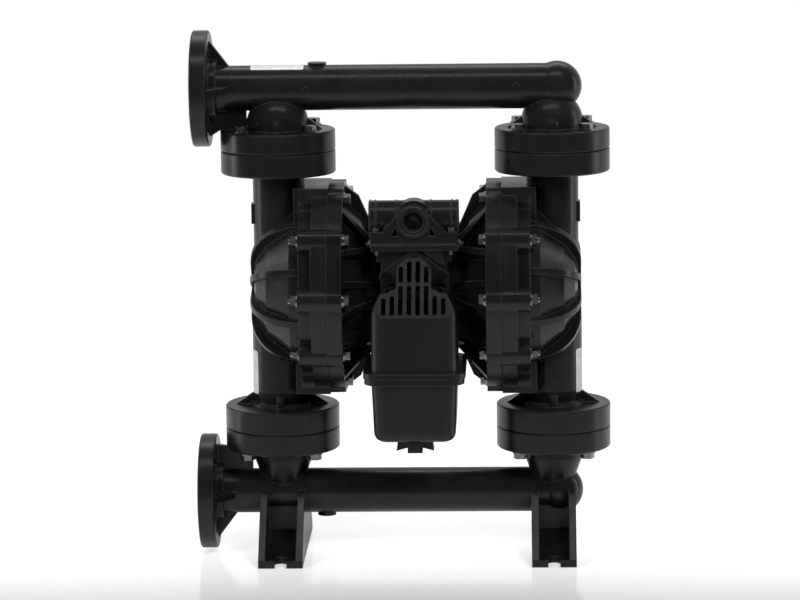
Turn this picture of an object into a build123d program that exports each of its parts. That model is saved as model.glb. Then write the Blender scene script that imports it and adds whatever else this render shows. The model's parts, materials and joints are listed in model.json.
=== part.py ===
"""Air operated double diaphragm pump, 1 1/2 inch class, moulded in glass-filled polypropylene.

Frame: millimetres, +Z up, +X along the two manifold tubes, front (air valve and muffler) towards -Y.
The origin lies on the floor, midway between the two columns and under their axes.
The pump axis, along which the diaphragm shaft slides, is parallel to X at height AXIS_Z.
Sub-parts of the right half are modelled once and mirrored to the left.
"""
from math import cos, radians, sin, sqrt, tan
import os

from build123d import *

# ---------------------------------------------------------------- driving sizes: layout
COLUMN_X = 177.0            # column axis from the middle of the pump
AXIS_Z = 350.0              # diaphragm shaft axis above the floor
TOP_FACE_Z = 529.0          # joint face of covers and outlet manifold
BOTTOM_FACE_Z = 165.0       # joint face of covers and inlet manifold
OUTLET_RISE = 79.6           # axis of the outlet tube above its joint face
INLET_DROP = 86.9            # axis of the inlet tube below its joint face
OUTLET_Z = TOP_FACE_Z + OUTLET_RISE
INLET_Z = BOTTOM_FACE_Z - INLET_DROP
PORT_FACE_X = -285.1        # outer face of both side flanges

# clearances
FIT = 0.05                  # radial clearance of a running or located fit
GAP = 0.3                   # clearance of curved faces on different bodies

# ---------------------------------------------------------------- driving sizes: manifolds and columns
TUBE_R = 29.2
TUBE_BORE_R = 20.5
COLUMN_FLANGE_R = 74.2
COVER_FLANGE_T = 29.7       # thickness of a fluid cover's end flange
OUTLET_FLANGE_T = 26.4
INLET_FLANGE_T = 27.6
EDGE = 1.6                  # small moulded chamfer
SIDE_FLANGE_R = 75.0
SIDE_FLANGE_T = 21.3
SIDE_PCD = 110.0
SIDE_HOLE_R = 9.0
HUB_R = 38.0
HUB_L = 9.0
GUSSET_T = 9.0
GUSSET_L = 27.0
GUSSET_R = 62.0
ELBOW_R = 40.0
ELBOW_Z = 33.0              # centre of the elbow's dome above the joint face
ELBOW_WALL = 7.0
NUB_R = 8.0
NUB_H = 14.5
END_BALL_R = 32.0           # closed end of each tube
END_BALL_X = 6.5            # its centre beyond the column
TUBE_PAD_X = -125.0         # plug pad on each tube
TUBE_PAD_R = 12.0
TUBE_PAD_H = 3.5
FLANGE_BOLT_PCD = 122.0     # four bolts in each column flange
FLANGE_BOLT_ANGLES = (45, 135, 225, 315)

# feet
FOOT_X = 176.2
FOOT_W = 57.4
FOOT_HALF_L = 113.8
FOOT_BASE_T = 9.0
FOOT_WALL_T = 9.0
FOOT_TOP_Z = 84.0
FOOT_TOP_HALF_L = 46.0
FOOT_SLOT_W = 15.5
FOOT_SLOT_L = 26.0
FOOT_WEB_HALF_L = 24.0

# ---------------------------------------------------------------- driving sizes: check valves
BALL_R = 23.0
SEAT_R = 31.0
SEAT_BORE_R = 19.0
SEAT_H = 12.0
SEAT_CONE_H = 6.0
CAGE_R = 27.0
BALL_LIFT = 14.0
STOP_T = 6.0
SEAT_RING_R = 36.0          # centre circle of the face seal
SEAT_RING_SECTION_R = 1.6

# ---------------------------------------------------------------- driving sizes: fluid covers
COLUMN_R = 33.5
COLUMN_LOW_R = 37.4         # thicker lower part of a column
COLUMN_LOW_TOP_Z = 306.0
COVER_JOINT_X = 111.0       # joint face of fluid cover and air cover
FLUID_RING_X = 131.0
FLUID_FLANGE_X = 147.6
RING_R = 134.0
RING_STEP_R = 118.0
LOBE_R = 15.5
BOLT_CIRCLE_R = 124.0
BOLT_COUNT = 10
BLOCK_BOLT_ANGLE = 60       # steeper bolts end blind in a port block
BLIND_TIP_X = 143.0
PORT_BLOCK_X = 155.5
PORT_BLOCK_HALF_W = 52.0
FLUID_RIB_T = 8.0
FLUID_RIB_ANGLES = (-54, -18, 18, 54, 126, 162, 198, 234)
SIDE_PAD = (2.2, 10.0, 433.0, 459.0)

# ---------------------------------------------------------------- driving sizes: diaphragm group
RIM_IN_R = 103.3
RIM_OUT_R = 111.7
RIM_T = 5.0
DIAPHRAGM_T = 4.0
PLATE_R = 70.0
CONVOLUTE_IN_R = PLATE_R + 3  # the diaphragm's bulge starts clear of its plates
CONVOLUTE_H = 8.0
AIR_PLATE_T = 10.0
FLUID_PLATE_T = 12.0
FLUID_NOSE_R = 24.0
FLUID_NOSE_H = 9.0
SHAFT_R = 12.5
STUD_R = 8.0
STUD_IN_PLATE = 13.0
HALF_STROKE = 15.0

# ---------------------------------------------------------------- driving sizes: air covers
AIR_FLANGE_X = 91.4
AIR_RING_R = 136.0
AIR_WALL_X = 74.0           # floor of the air chamber
AIR_BACK_X = 66.0
HUB_RADIUS = 62.0
HOUSING_X = 48.0            # joint face of air cover and centre housing
ARM_T = 7.5
ARM_LUG_R = 11.0
ARM_Y = 66.0
ARM_Z = 62.0
FIN_T = 8.0

# pilot pins
PIN_R = 4.0
PIN_Y = 24.0
PIN_DZ = 28.0
PIN_TAIL_X = 30.0
PIN_TRAVEL = 5.0
PIN_BUSH_R = 7.0
PIN_BUSH_L = 10.0

# ---------------------------------------------------------------- driving sizes: centre housing and valve
DRUM_R = 58.0
BUSH_R = 16.5
BUSH_L = 20.0
SEAL_R = 17.0
SEAL_L = 6.0
DECK_Z = (396.0, 419.0)
DECK_Y = (-100.0, -30.0)
DECK_X = HOUSING_X
PAD_X = 42.0
PAD_Y = -100.0
PAD_Z = 346.0
GROUND_LUG = [(13, 413), (37, 413), (37, 392.5), (13, 408)]     # (x, z) outline of the earthing lug
EXHAUST_R = 20.0
EXHAUST_Z = 376.0

VALVE_Y = -78.0
VALVE_Z = 449.0
VALVE_R = 23.0
VALVE_X = 47.0              # body half length between the end caps
CAP_T = 10.3
SPOOL_R = 15.0
SPOOL_X = 38.0
SPOOL_TRAVEL = 6.0
BOSS_R = 19.8
BOSS_FACE_Y = -118.0
INLET_R = 13.2
INLET_MOUTH_R = 17.0
VALVE_BASE_Z = 436.0
VALVE_BASE_Y = (-112.0, -44.0)
CUP = (24.0, 18.0, 9.0)
VALVE_PLATE = (44.0, 30.0, 3.0)
GASKET_T = 1.5
VALVE_BASE_X = 54.5          # half width of the base in front, over the ledge
VALVE_WIDE_Y = (VALVE_BASE_Y[0], -98.5)
VALVE_SCREW_X = (47.5, 41.5)  # front and rear pair of screws
VALVE_SCREW_Y = (-106.0, -50.0)
BODY_BEAD_X = 22.0
INLET_MOUTH_T = 3.0
INLET_DEPTH = 19.0          # threaded length below the mouth
INLET_PASSAGE_R = 5.0
BEAD = (2.0, 1.0)            # width and height of the beads round the valve's barrel
VALVE_LEDGE_Z = 411.3       # underside of the deck's ledge in front of the housing

# ---------------------------------------------------------------- driving sizes: muffler
MUFFLER_X = 54.5
MUFFLER_FRONT_Y = -160.0
MUFFLER_BACK_Y = -12.0
MUFFLER_CORNER_R = 18.0
HOOD_FLANGE_T = 6.0
HOOD_TOP_Z = 405.0
HOOD_SHOULDER_Z = 333.0
HOOD_BACK_Z = 273.0
HOOD_WALL = 3.5
LIP_Z = (247.0, 262.0)
LIP_X = 65.0
LIP_OUT = 6.0
BOWL_BOTTOM_Z = 171.5
BOWL_DRAFT = 3.0
HOOD_SCREW_X = 35.3
HOOD_SCREW_Z = 377.6
HOOD_POCKET_R = 6.5         # pocket over each hood screw, drawn down to its own foot
HOOD_POCKET_Z = 361.6
SLOT_PITCH = 10.8
SLOT_W = 6.0
SLOT_END_R = 2.4
LOWER_SLOTS = (336.5, (370.6, 370.6, 358.5, 356.0))     # foot, and tops from the middle outwards
UPPER_SLOTS = (373.6, (398.5, 392.5))

# ---------------------------------------------------------------- fasteners: (shank r, across flats, head height)
M8 = (4.0, 13.0, 7.0)
M10 = (5.0, 16.0, 7.0)
M6 = (3.0, 10.0, 4.5)
SCREW_HEAD_R = 5.0          # cylinder head of an M6 screw, as tall as its radius
WASHER_T = 2.0
COLLAR_T = 1.6              # flange under a bolt's hexagon
COLLAR_OUT = 0.9            # and its step beyond the hexagon's flats
HOLE_CLEARANCE = 0.4

PARTS = {}


# ---------------------------------------------------------------- helpers
def rod(radius, start, end):
    """Cylinder between two points."""
    start, end = Vector(*start), Vector(*end)
    run = end - start
    base = Plane(origin=start, z_dir=run.normalized())
    return base * Cylinder(radius, run.length, align=(Align.CENTER, Align.CENTER, Align.MIN))


def rod_x(radius, x0, x1, y, z):
    return rod(radius, (x0, y, z), (x1, y, z))


def rod_y(radius, y0, y1, x, z):
    return rod(radius, (x, y0, z), (x, y1, z))


def rod_z(radius, z0, z1, x, y=0.0):
    return rod(radius, (x, y, z0), (x, y, z1))


def hexagon(flats, start, end):
    """Hexagonal prism between two points."""
    start, end = Vector(*start), Vector(*end)
    run = end - start
    base = Plane(origin=start, z_dir=run.normalized())
    return extrude(base * RegularPolygon(flats / 2, 6, major_radius=False), amount=run.length)


def block(x, y, z):
    """Box from its three pairs of limits."""
    size = (abs(x[1] - x[0]), abs(y[1] - y[0]), abs(z[1] - z[0]))
    middle = ((x[0] + x[1]) / 2, (y[0] + y[1]) / 2, (z[0] + z[1]) / 2)
    return Pos(*middle) * Box(*size)


def turned(points):
    """Solid turned about the pump axis from (x, radius) points."""
    wire = Polyline([(x, 0, AXIS_Z + r) for x, r in points], close=True)
    return revolve(make_face(wire), axis=Axis((0, 0, AXIS_Z), (1, 0, 0)))


def turned_z(points, x, y=0.0):
    """Solid turned about a vertical axis from (radius, z) points."""
    wire = Polyline([(x + r, y, z) for r, z in points], close=True)
    return revolve(make_face(wire), axis=Axis((x, y, 0), (0, 0, 1)))


def profile_y(points, y0, y1):
    """Prism along Y from (x, z) points."""
    face = make_face(Polyline([(x, y0, z) for x, z in points], close=True))
    return extrude(face, amount=abs(y1 - y0), dir=(0, 1 if y1 > y0 else -1, 0))


def profile_x(points, x0, x1):
    """Prism along X from (y, z) points."""
    face = make_face(Polyline([(x0, y, z) for y, z in points], close=True))
    return extrude(face, amount=abs(x1 - x0), dir=(1 if x1 > x0 else -1, 0, 0))


def around(radius, angle):
    """(y, z) of a point on a circle about the pump axis, the angle counted from the front upwards."""
    return -radius * cos(radians(angle)), AXIS_Z + radius * sin(radians(angle))


def radial_plane(angle):
    """Plane through the pump axis: local x along X, local y outwards at the angle."""
    out_y, out_z = -cos(radians(angle)), sin(radians(angle))
    return Plane(origin=(0, 0, AXIS_Z), x_dir=(1, 0, 0), z_dir=(0, -out_z, out_y))


def plan_block(half_x, y, z, corner):
    """Upright prism with rounded plan corners."""
    plan = RectangleRounded(2 * half_x, abs(y[1] - y[0]), corner)
    return extrude(Pos(0, (y[0] + y[1]) / 2, z[0]) * plan, amount=z[1] - z[0])


def left(shape):
    return mirror(shape, about=Plane.YZ)


def bolt(size, seat, tip, washer=0.0):
    """Hex bolt: its head stands on the seat point and its shank runs to the tip."""
    shank_r, flats, head_h = size
    seat, tip = Vector(*seat), Vector(*tip)
    out = (seat - tip).normalized()
    base = seat + out * washer
    head = hexagon(flats, base, base + out * head_h) + rod(flats / 2 + COLLAR_OUT, base, base + out * COLLAR_T)
    return head + rod(shank_r, tip, base)


def washer(size, seat, out):
    """Flat washer that lies on the seat point."""
    shank_r, flats, _ = size
    seat, out = Vector(*seat), Vector(*out)
    top = seat + out * WASHER_T
    return rod(flats / 2 + 2.6, seat, top) - rod(shank_r + HOLE_CLEARANCE, seat - out, top + out)


def nut(size, seat, out, washer_t=0.0):
    shank_r, flats, head_h = size
    seat, out = Vector(*seat), Vector(*out)
    base = seat + out * washer_t
    top = base + out * head_h
    return hexagon(flats, base, top) - rod(shank_r + FIT, base - out, top + out)


def group(solids):
    """Several separate solids in one node."""
    return Compound(children=[s for shape in solids for s in shape.solids()])


def bolt_angles():
    return [360 / BOLT_COUNT * i for i in range(BOLT_COUNT)]


def ends_in_block(angle):
    """True for a cover bolt that lies behind a port block, where it has a blind thread and no nut."""
    return abs(sin(radians(angle))) > sin(radians(BLOCK_BOLT_ANGLE))


def flange_bolt_places(x):
    """(x, y) of the four bolts of a column flange."""
    r = FLANGE_BOLT_PCD / 2
    return [(x + r * cos(radians(a)), r * sin(radians(a))) for a in FLANGE_BOLT_ANGLES]


# ---------------------------------------------------------------- check valves
BALL_REST = SEAT_CONE_H + sqrt((BALL_R + GAP) ** 2 - SEAT_BORE_R ** 2)   # ball centre above its seat's foot
STOP_RISE = BALL_REST + BALL_LIFT + BALL_R + GAP                         # stop bars above the seat's foot


def seat_foot(face_z):
    """A seat straddles the joint face that it seals."""
    return face_z - SEAT_H / 2


def check_seat(x, face_z):
    foot = seat_foot(face_z)
    cone_r = SEAT_BORE_R + SEAT_CONE_H * 0.8
    points = [(SEAT_BORE_R, foot), (SEAT_R, foot), (SEAT_R, foot + SEAT_H), (cone_r, foot + SEAT_H),
              (SEAT_BORE_R, foot + SEAT_CONE_H)]
    return turned_z(points, x)


def check_ball(x, face_z):
    return Pos(x, 0, seat_foot(face_z) + BALL_REST) * Sphere(BALL_R)


def seat_ring(x, face_z):
    z = face_z - SEAT_RING_SECTION_R
    return Pos(x, 0, z) * Torus(SEAT_RING_R, SEAT_RING_SECTION_R)


def seat_pocket(x, face_z):
    """Room for a seat on both sides of a joint face."""
    foot = seat_foot(face_z)
    return rod_z(SEAT_R + FIT, foot, foot + SEAT_H, x)


def ring_groove(x, face_z):
    """Groove for the face seal, in the lower member."""
    depth = 2 * SEAT_RING_SECTION_R + FIT
    width = SEAT_RING_SECTION_R + FIT
    outer = rod_z(SEAT_RING_R + width, face_z - depth, face_z + 1, x)
    return outer - rod_z(SEAT_RING_R - width, face_z - depth - 1, face_z + 2, x)


def cage(x, face_z, top_z, domed=False):
    """Ball chamber above a joint face, without its stop bars; a domed one follows the elbow outside it."""
    foot = seat_foot(face_z)
    wall = [(CAGE_R, top_z)]
    if domed:
        inner = ELBOW_R - ELBOW_WALL
        wall = [(r, face_z + ELBOW_Z + sqrt(inner ** 2 - r ** 2))
                for r in (CAGE_R, (CAGE_R + SEAT_BORE_R) / 2, SEAT_BORE_R)]
        wall.append((SEAT_BORE_R, top_z))
    room = turned_z([(0, foot + SEAT_H - 0.5), (CAGE_R, foot + SEAT_H - 0.5), *wall, (0, top_z)], x)
    z0 = foot + STOP_RISE
    for turn in (0, 90):
        room -= Pos(x, 0, z0 + STOP_T / 2) * Rot(0, 0, turn) * Box(4 * CAGE_R, STOP_T, STOP_T)
    return room


# ---------------------------------------------------------------- manifolds
def side_flange(axis_z):
    """Process flange with its hub and two horizontal gussets, without bores."""
    back = PORT_FACE_X + SIDE_FLANGE_T
    body = rod_x(SIDE_FLANGE_R, PORT_FACE_X, back, 0, axis_z)
    body = chamfer(body.edges().filter_by(GeomType.CIRCLE), EDGE)
    body += rod_x(HUB_R, back, back + HUB_L, 0, axis_z)
    for side in (1, -1):
        outline = [(back, 0), (back, side * GUSSET_R), (back + GUSSET_L, side * TUBE_R * 0.9), (back + GUSSET_L, 0)]
        face = make_face(Polyline([(x, y, axis_z - GUSSET_T / 2) for x, y in outline], close=True))
        body += extrude(face, amount=GUSSET_T, dir=(0, 0, 1))
    return body


def flange_webs(axis_z, flange_z, towards):
    """Upright gussets of the side flange: one away from the column flange, one that reaches it."""
    back = PORT_FACE_X + SIDE_FLANGE_T
    away = [(back, axis_z), (back, axis_z - towards * GUSSET_R), (back + GUSSET_L, axis_z - towards * TUBE_R * 0.9),
            (back + GUSSET_L, axis_z)]
    near = [(back, axis_z), (back, axis_z + towards * GUSSET_R), (back + 12, flange_z + towards),
            (-COLUMN_X - ELBOW_R, flange_z + towards), (-COLUMN_X - ELBOW_R, axis_z)]
    half = GUSSET_T / 2
    return profile_y(away, -half, half) + profile_y(near, -half, half)


def side_flange_cuts(axis_z):
    depth = PORT_FACE_X - 1, PORT_FACE_X + SIDE_FLANGE_T + 1
    cuts = []
    for angle in FLANGE_BOLT_ANGLES:
        y = SIDE_PCD / 2 * cos(radians(angle))
        z = axis_z + SIDE_PCD / 2 * sin(radians(angle))
        cuts.append(rod_x(SIDE_HOLE_R, *depth, y, z))
    return cuts


def column_flange(x, z0, z1):
    disc = rod_z(COLUMN_FLANGE_R, z0, z1, x)
    return chamfer(disc.edges().filter_by(GeomType.CIRCLE), EDGE)


def elbow_trim(x, flange_z, rise):
    """Nub at the front and small gussets beside an elbow, on a manifold flange."""
    half = GUSSET_T / 2
    y = -ELBOW_R + 2
    shape = rod_z(NUB_R, flange_z, flange_z + rise * (NUB_H - NUB_R), x, y)
    shape += Pos(x, y, flange_z + rise * (NUB_H - NUB_R)) * Sphere(NUB_R)
    for side in (1, -1):
        root = x + side * ELBOW_R * 0.8
        points = [(root, flange_z), (x + side * (ELBOW_R + 18), flange_z), (x + side * ELBOW_R, flange_z + rise * 14),
                  (root, flange_z + rise * 14)]
        shape += profile_y(points, -half, half)
    return shape


def elbow(x):
    """Round-topped elbow of the outlet manifold: an upright wall that ends in a dome."""
    z0, z1 = TOP_FACE_Z + 1, TOP_FACE_Z + ELBOW_Z
    diagonal = ELBOW_R * sqrt(0.5)
    outline = [Line((x, 0, z0), (x + ELBOW_R, 0, z0)), Line((x + ELBOW_R, 0, z0), (x + ELBOW_R, 0, z1)),
               ThreePointArc((x + ELBOW_R, 0, z1), (x + diagonal, 0, z1 + diagonal), (x, 0, z1 + ELBOW_R)),
               Line((x, 0, z1 + ELBOW_R), (x, 0, z0))]
    return revolve(make_face(outline), axis=Axis((x, 0, 0), (0, 0, 1)))


def outlet_manifold():
    flange_z = TOP_FACE_Z + OUTLET_FLANGE_T
    end_x = COLUMN_X + END_BALL_X
    body = rod_x(TUBE_R, PORT_FACE_X + SIDE_FLANGE_T / 2, end_x, 0, OUTLET_Z)
    body += Pos(end_x, 0, OUTLET_Z) * Sphere(END_BALL_R)
    body += side_flange(OUTLET_Z) + flange_webs(OUTLET_Z, flange_z, -1)
    for x in (-COLUMN_X, COLUMN_X):
        body += column_flange(x, TOP_FACE_Z, flange_z)
        body += elbow(x)
        body += elbow_trim(x, flange_z, 1)
    body += rod_z(TUBE_PAD_R, OUTLET_Z, OUTLET_Z + TUBE_R + TUBE_PAD_H, TUBE_PAD_X)
    body -= rod_x(TUBE_BORE_R, PORT_FACE_X - 1, COLUMN_X, 0, OUTLET_Z)
    for x in (-COLUMN_X, COLUMN_X):
        body -= seat_pocket(x, TOP_FACE_Z)
        body -= cage(x, TOP_FACE_Z, OUTLET_Z, domed=True)
        for bx, by in flange_bolt_places(x):
            body -= rod_z(M10[0] + HOLE_CLEARANCE, TOP_FACE_Z - 1, flange_z + 1, bx, by)
            body -= rod_z(M10[1] / 2 + 3.2, flange_z, flange_z + 16, bx, by)
    for cut in side_flange_cuts(OUTLET_Z):
        body -= cut
    return body


def foot(x):
    """Channel-shaped foot: base plate, two raking side walls, a cross web and an open slot at each end."""
    half_w = FOOT_W / 2
    side = [(-FOOT_HALF_L, 0), (FOOT_HALF_L, 0), (FOOT_HALF_L, FOOT_BASE_T), (FOOT_TOP_HALF_L, FOOT_TOP_Z),
            (-FOOT_TOP_HALF_L, FOOT_TOP_Z), (-FOOT_HALF_L, FOOT_BASE_T)]
    body = profile_x(side, x - half_w, x + half_w)
    top = FOOT_TOP_Z + 1
    for end in (1, -1):
        room = [(end * FOOT_WEB_HALF_L, FOOT_BASE_T + 22), (end * FOOT_WEB_HALF_L, top),
                (end * (FOOT_HALF_L + 1), top), (end * (FOOT_HALF_L + 1), FOOT_BASE_T),
                (end * (FOOT_WEB_HALF_L + 45), FOOT_BASE_T)]
        body -= profile_x(room, x - half_w + FOOT_WALL_T, x + half_w - FOOT_WALL_T)
        inner = end * (FOOT_HALF_L - FOOT_SLOT_L + FOOT_SLOT_W / 2)
        body -= block((x - FOOT_SLOT_W / 2, x + FOOT_SLOT_W / 2), (inner, end * (FOOT_HALF_L + 1)),
                      (-1, FOOT_BASE_T + 1))
        body -= rod_z(FOOT_SLOT_W / 2, -1, FOOT_BASE_T + 1, x, inner)
    return body


def inlet_manifold():
    flange_z = BOTTOM_FACE_Z - INLET_FLANGE_T
    end_x = COLUMN_X + END_BALL_X
    body = rod_x(TUBE_R, PORT_FACE_X + SIDE_FLANGE_T / 2, end_x, 0, INLET_Z)
    body += Pos(end_x, 0, INLET_Z) * Sphere(END_BALL_R)
    for x in (-COLUMN_X, COLUMN_X):
        side = 1 if x > 0 else -1
        body += foot(side * FOOT_X)
        body += column_flange(x, flange_z, BOTTOM_FACE_Z)
        body += turned_z([(0, INLET_Z), (TUBE_R * 0.75, INLET_Z), (ELBOW_R * 0.95, flange_z - 14),
                          (ELBOW_R * 0.95, flange_z + 1), (0, flange_z + 1)], x)
        body += rod_z(NUB_R, flange_z - NUB_H / 2, flange_z, x, -ELBOW_R + 4)
    body += side_flange(INLET_Z) + flange_webs(INLET_Z, flange_z, 1)
    body += rod_z(TUBE_PAD_R, INLET_Z - TUBE_R - TUBE_PAD_H, INLET_Z, TUBE_PAD_X + 4)
    body -= rod_x(TUBE_BORE_R, PORT_FACE_X - 1, COLUMN_X, 0, INLET_Z)
    for x in (-COLUMN_X, COLUMN_X):
        body -= rod_z(SEAT_BORE_R, INLET_Z, BOTTOM_FACE_Z, x)
        body -= seat_pocket(x, BOTTOM_FACE_Z) + ring_groove(x, BOTTOM_FACE_Z)
        for bx, by in flange_bolt_places(x):
            body -= rod_z(M10[0] + HOLE_CLEARANCE, flange_z - 1, BOTTOM_FACE_Z + 1, bx, by)
            body -= rod_z(M10[1] / 2 + 3.2, flange_z - 16, flange_z, bx, by)
    for cut in side_flange_cuts(INLET_Z):
        body -= cut
    return body


# ---------------------------------------------------------------- fluid cover (right side)
def fluid_rib(angle):
    """Radial rib that wraps over the chamber's dome."""
    start, crown, end = (FLUID_FLANGE_X - 4, 110), (198, 86), (213.5, 44)
    edge = ThreePointArc(start, crown, end)
    rest = Polyline(end, (end[0], 0), (start[0], 0), start)
    return extrude(radial_plane(angle) * make_face(edge + rest), amount=FLUID_RIB_T / 2, both=True)


def fluid_cover():
    top, bottom = TOP_FACE_Z, BOTTOM_FACE_Z
    dome = [(COVER_JOINT_X, 0), (COVER_JOINT_X, RING_R), (FLUID_RING_X, RING_R), (FLUID_RING_X, RING_STEP_R),
            (FLUID_FLANGE_X, RING_STEP_R), (FLUID_FLANGE_X, 106), (160, 103), (191.5, 76), (205, 52), (209, 34), (209, 0)]
    body = turned(dome)
    for angle in FLUID_RIB_ANGLES:
        body += fluid_rib(angle)
    for angle in bolt_angles():
        body += rod_x(LOBE_R, COVER_JOINT_X, FLUID_FLANGE_X, *around(BOLT_CIRCLE_R, angle))
    body += block((COVER_JOINT_X, PORT_BLOCK_X), (-PORT_BLOCK_HALF_W, PORT_BLOCK_HALF_W),
                  (AXIS_Z - RING_R, AXIS_Z + RING_R))
    body += rod_z(COLUMN_R, bottom + 1, top - 1, COLUMN_X)
    body += turned_z([(0, bottom + COVER_FLANGE_T), (COLUMN_R, bottom + COVER_FLANGE_T),
                      (COLUMN_LOW_R, bottom + COVER_FLANGE_T + 20), (COLUMN_LOW_R, COLUMN_LOW_TOP_Z),
                      (COLUMN_R, COLUMN_LOW_TOP_Z + 14), (0, COLUMN_LOW_TOP_Z + 14)], COLUMN_X)
    pad_x, pad_half, pad_z0, pad_z1 = SIDE_PAD
    body += block((COLUMN_X, COLUMN_X + COLUMN_R + pad_x), (-pad_half, pad_half), (pad_z0, pad_z1))
    body += column_flange(COLUMN_X, top - COVER_FLANGE_T, top)
    body += column_flange(COLUMN_X, bottom, bottom + COVER_FLANGE_T)
    flange_top = bottom + COVER_FLANGE_T
    body += rod_z(COLUMN_R + 7, flange_top - 1, flange_top + 3, COLUMN_X)
    body += rod_z(NUB_R * 0.7, flange_top - 1, flange_top + NUB_H, COLUMN_X, -COLUMN_R - 4)
    half = GUSSET_T / 2
    for side in (1, -1):
        root = COLUMN_X + side * (COLUMN_R - 6)
        points = [(root, flange_top - 1), (COLUMN_X + side * (COLUMN_FLANGE_R - 12), flange_top - 1),
                  (COLUMN_X + side * COLUMN_R, flange_top + 18), (root, flange_top + 18)]
        body += profile_y(points, -half, half)

    # chamber, ball cage, passages and seal groove
    body -= turned([(COVER_JOINT_X - 1, 0), (COVER_JOINT_X - 1, RIM_IN_R), (COVER_JOINT_X + 8, RIM_IN_R), (140, PLATE_R + 18),
                    (152, PLATE_R + 4), (157, PLATE_R - 20), (157, 0)])
    body -= turned([(COVER_JOINT_X - 1, RIM_IN_R - 2), (COVER_JOINT_X - 1, RIM_OUT_R + GAP),
                    (COVER_JOINT_X + RIM_T / 2, RIM_OUT_R + GAP), (COVER_JOINT_X + RIM_T / 2, RIM_IN_R - 2)])
    body -= seat_pocket(COLUMN_X, bottom) + cage(COLUMN_X, bottom, AXIS_Z - 62)
    body -= seat_pocket(COLUMN_X, top) + ring_groove(COLUMN_X, top)
    body -= rod_z(SEAT_BORE_R, AXIS_Z + 62, top, COLUMN_X)
    for side in (1, -1):
        z0, z1 = sorted((AXIS_Z + side * 64, AXIS_Z + side * 90))
        body -= block((130, COLUMN_X), (-17, 17), (z0, z1))
    for angle in bolt_angles():
        place = around(BOLT_CIRCLE_R, angle)
        if ends_in_block(angle):
            body -= rod_x(M8[0] + FIT, COVER_JOINT_X - 1, BLIND_TIP_X + 2, *place)
            continue
        body -= rod_x(M8[0] + HOLE_CLEARANCE, COVER_JOINT_X - 1, FLUID_FLANGE_X + 1, *place)
        body -= rod_x(M8[1] / 2 + 3, FLUID_FLANGE_X, FLUID_FLANGE_X + 14, *place)
    insert_r, insert_l = INSERT
    for bx, by in flange_bolt_places(COLUMN_X):
        body -= rod_z(insert_r + FIT, top - insert_l, top + 1, bx, by)
        body -= rod_z(insert_r + FIT, bottom - 1, bottom + insert_l, bx, by)
    return body


INSERT = (7.5, 20.0)        # threaded insert: radius, length


def inserts(face_z, into):
    """Threaded inserts of the covers for the bolts of one manifold."""
    solids = []
    for x in (-COLUMN_X, COLUMN_X):
        for bx, by in flange_bolt_places(x):
            end = face_z + into * INSERT[1]
            bush = rod_z(INSERT[0], min(face_z, end), max(face_z, end), bx, by)
            solids.append(bush - rod_z(M10[0] + FIT, face_z - 40, face_z + 40, bx, by))
    return group(solids)


# ---------------------------------------------------------------- air cover (right side)
def section(x, angle, r0, r1):
    """Rectangle across a fin at station x, between two radii at an angle."""
    y0, z0 = around((r0 + r1) / 2, angle)
    plane = Plane(origin=(x, y0, z0), x_dir=(0, -cos(radians(angle)), sin(radians(angle))), z_dir=(1, 0, 0))
    return plane * Rectangle(abs(r1 - r0), FIN_T)


def fin(flange_angle, hub_angle, hub_r, mid_r=None):
    """Fin of an air cover: from the flange's rim to the hub, its edge bowed outwards when mid_r is given."""
    faces = [section(AIR_FLANGE_X + 3, flange_angle, 70, AIR_RING_R - 2)]
    if mid_r:
        faces.append(section((AIR_FLANGE_X + HOUSING_X + ARM_T) / 2, (flange_angle + hub_angle) / 2, 60, mid_r))
    faces.append(section(HOUSING_X + ARM_T - 4, hub_angle, 40, hub_r))
    return loft(faces, ruled=True)


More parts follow.
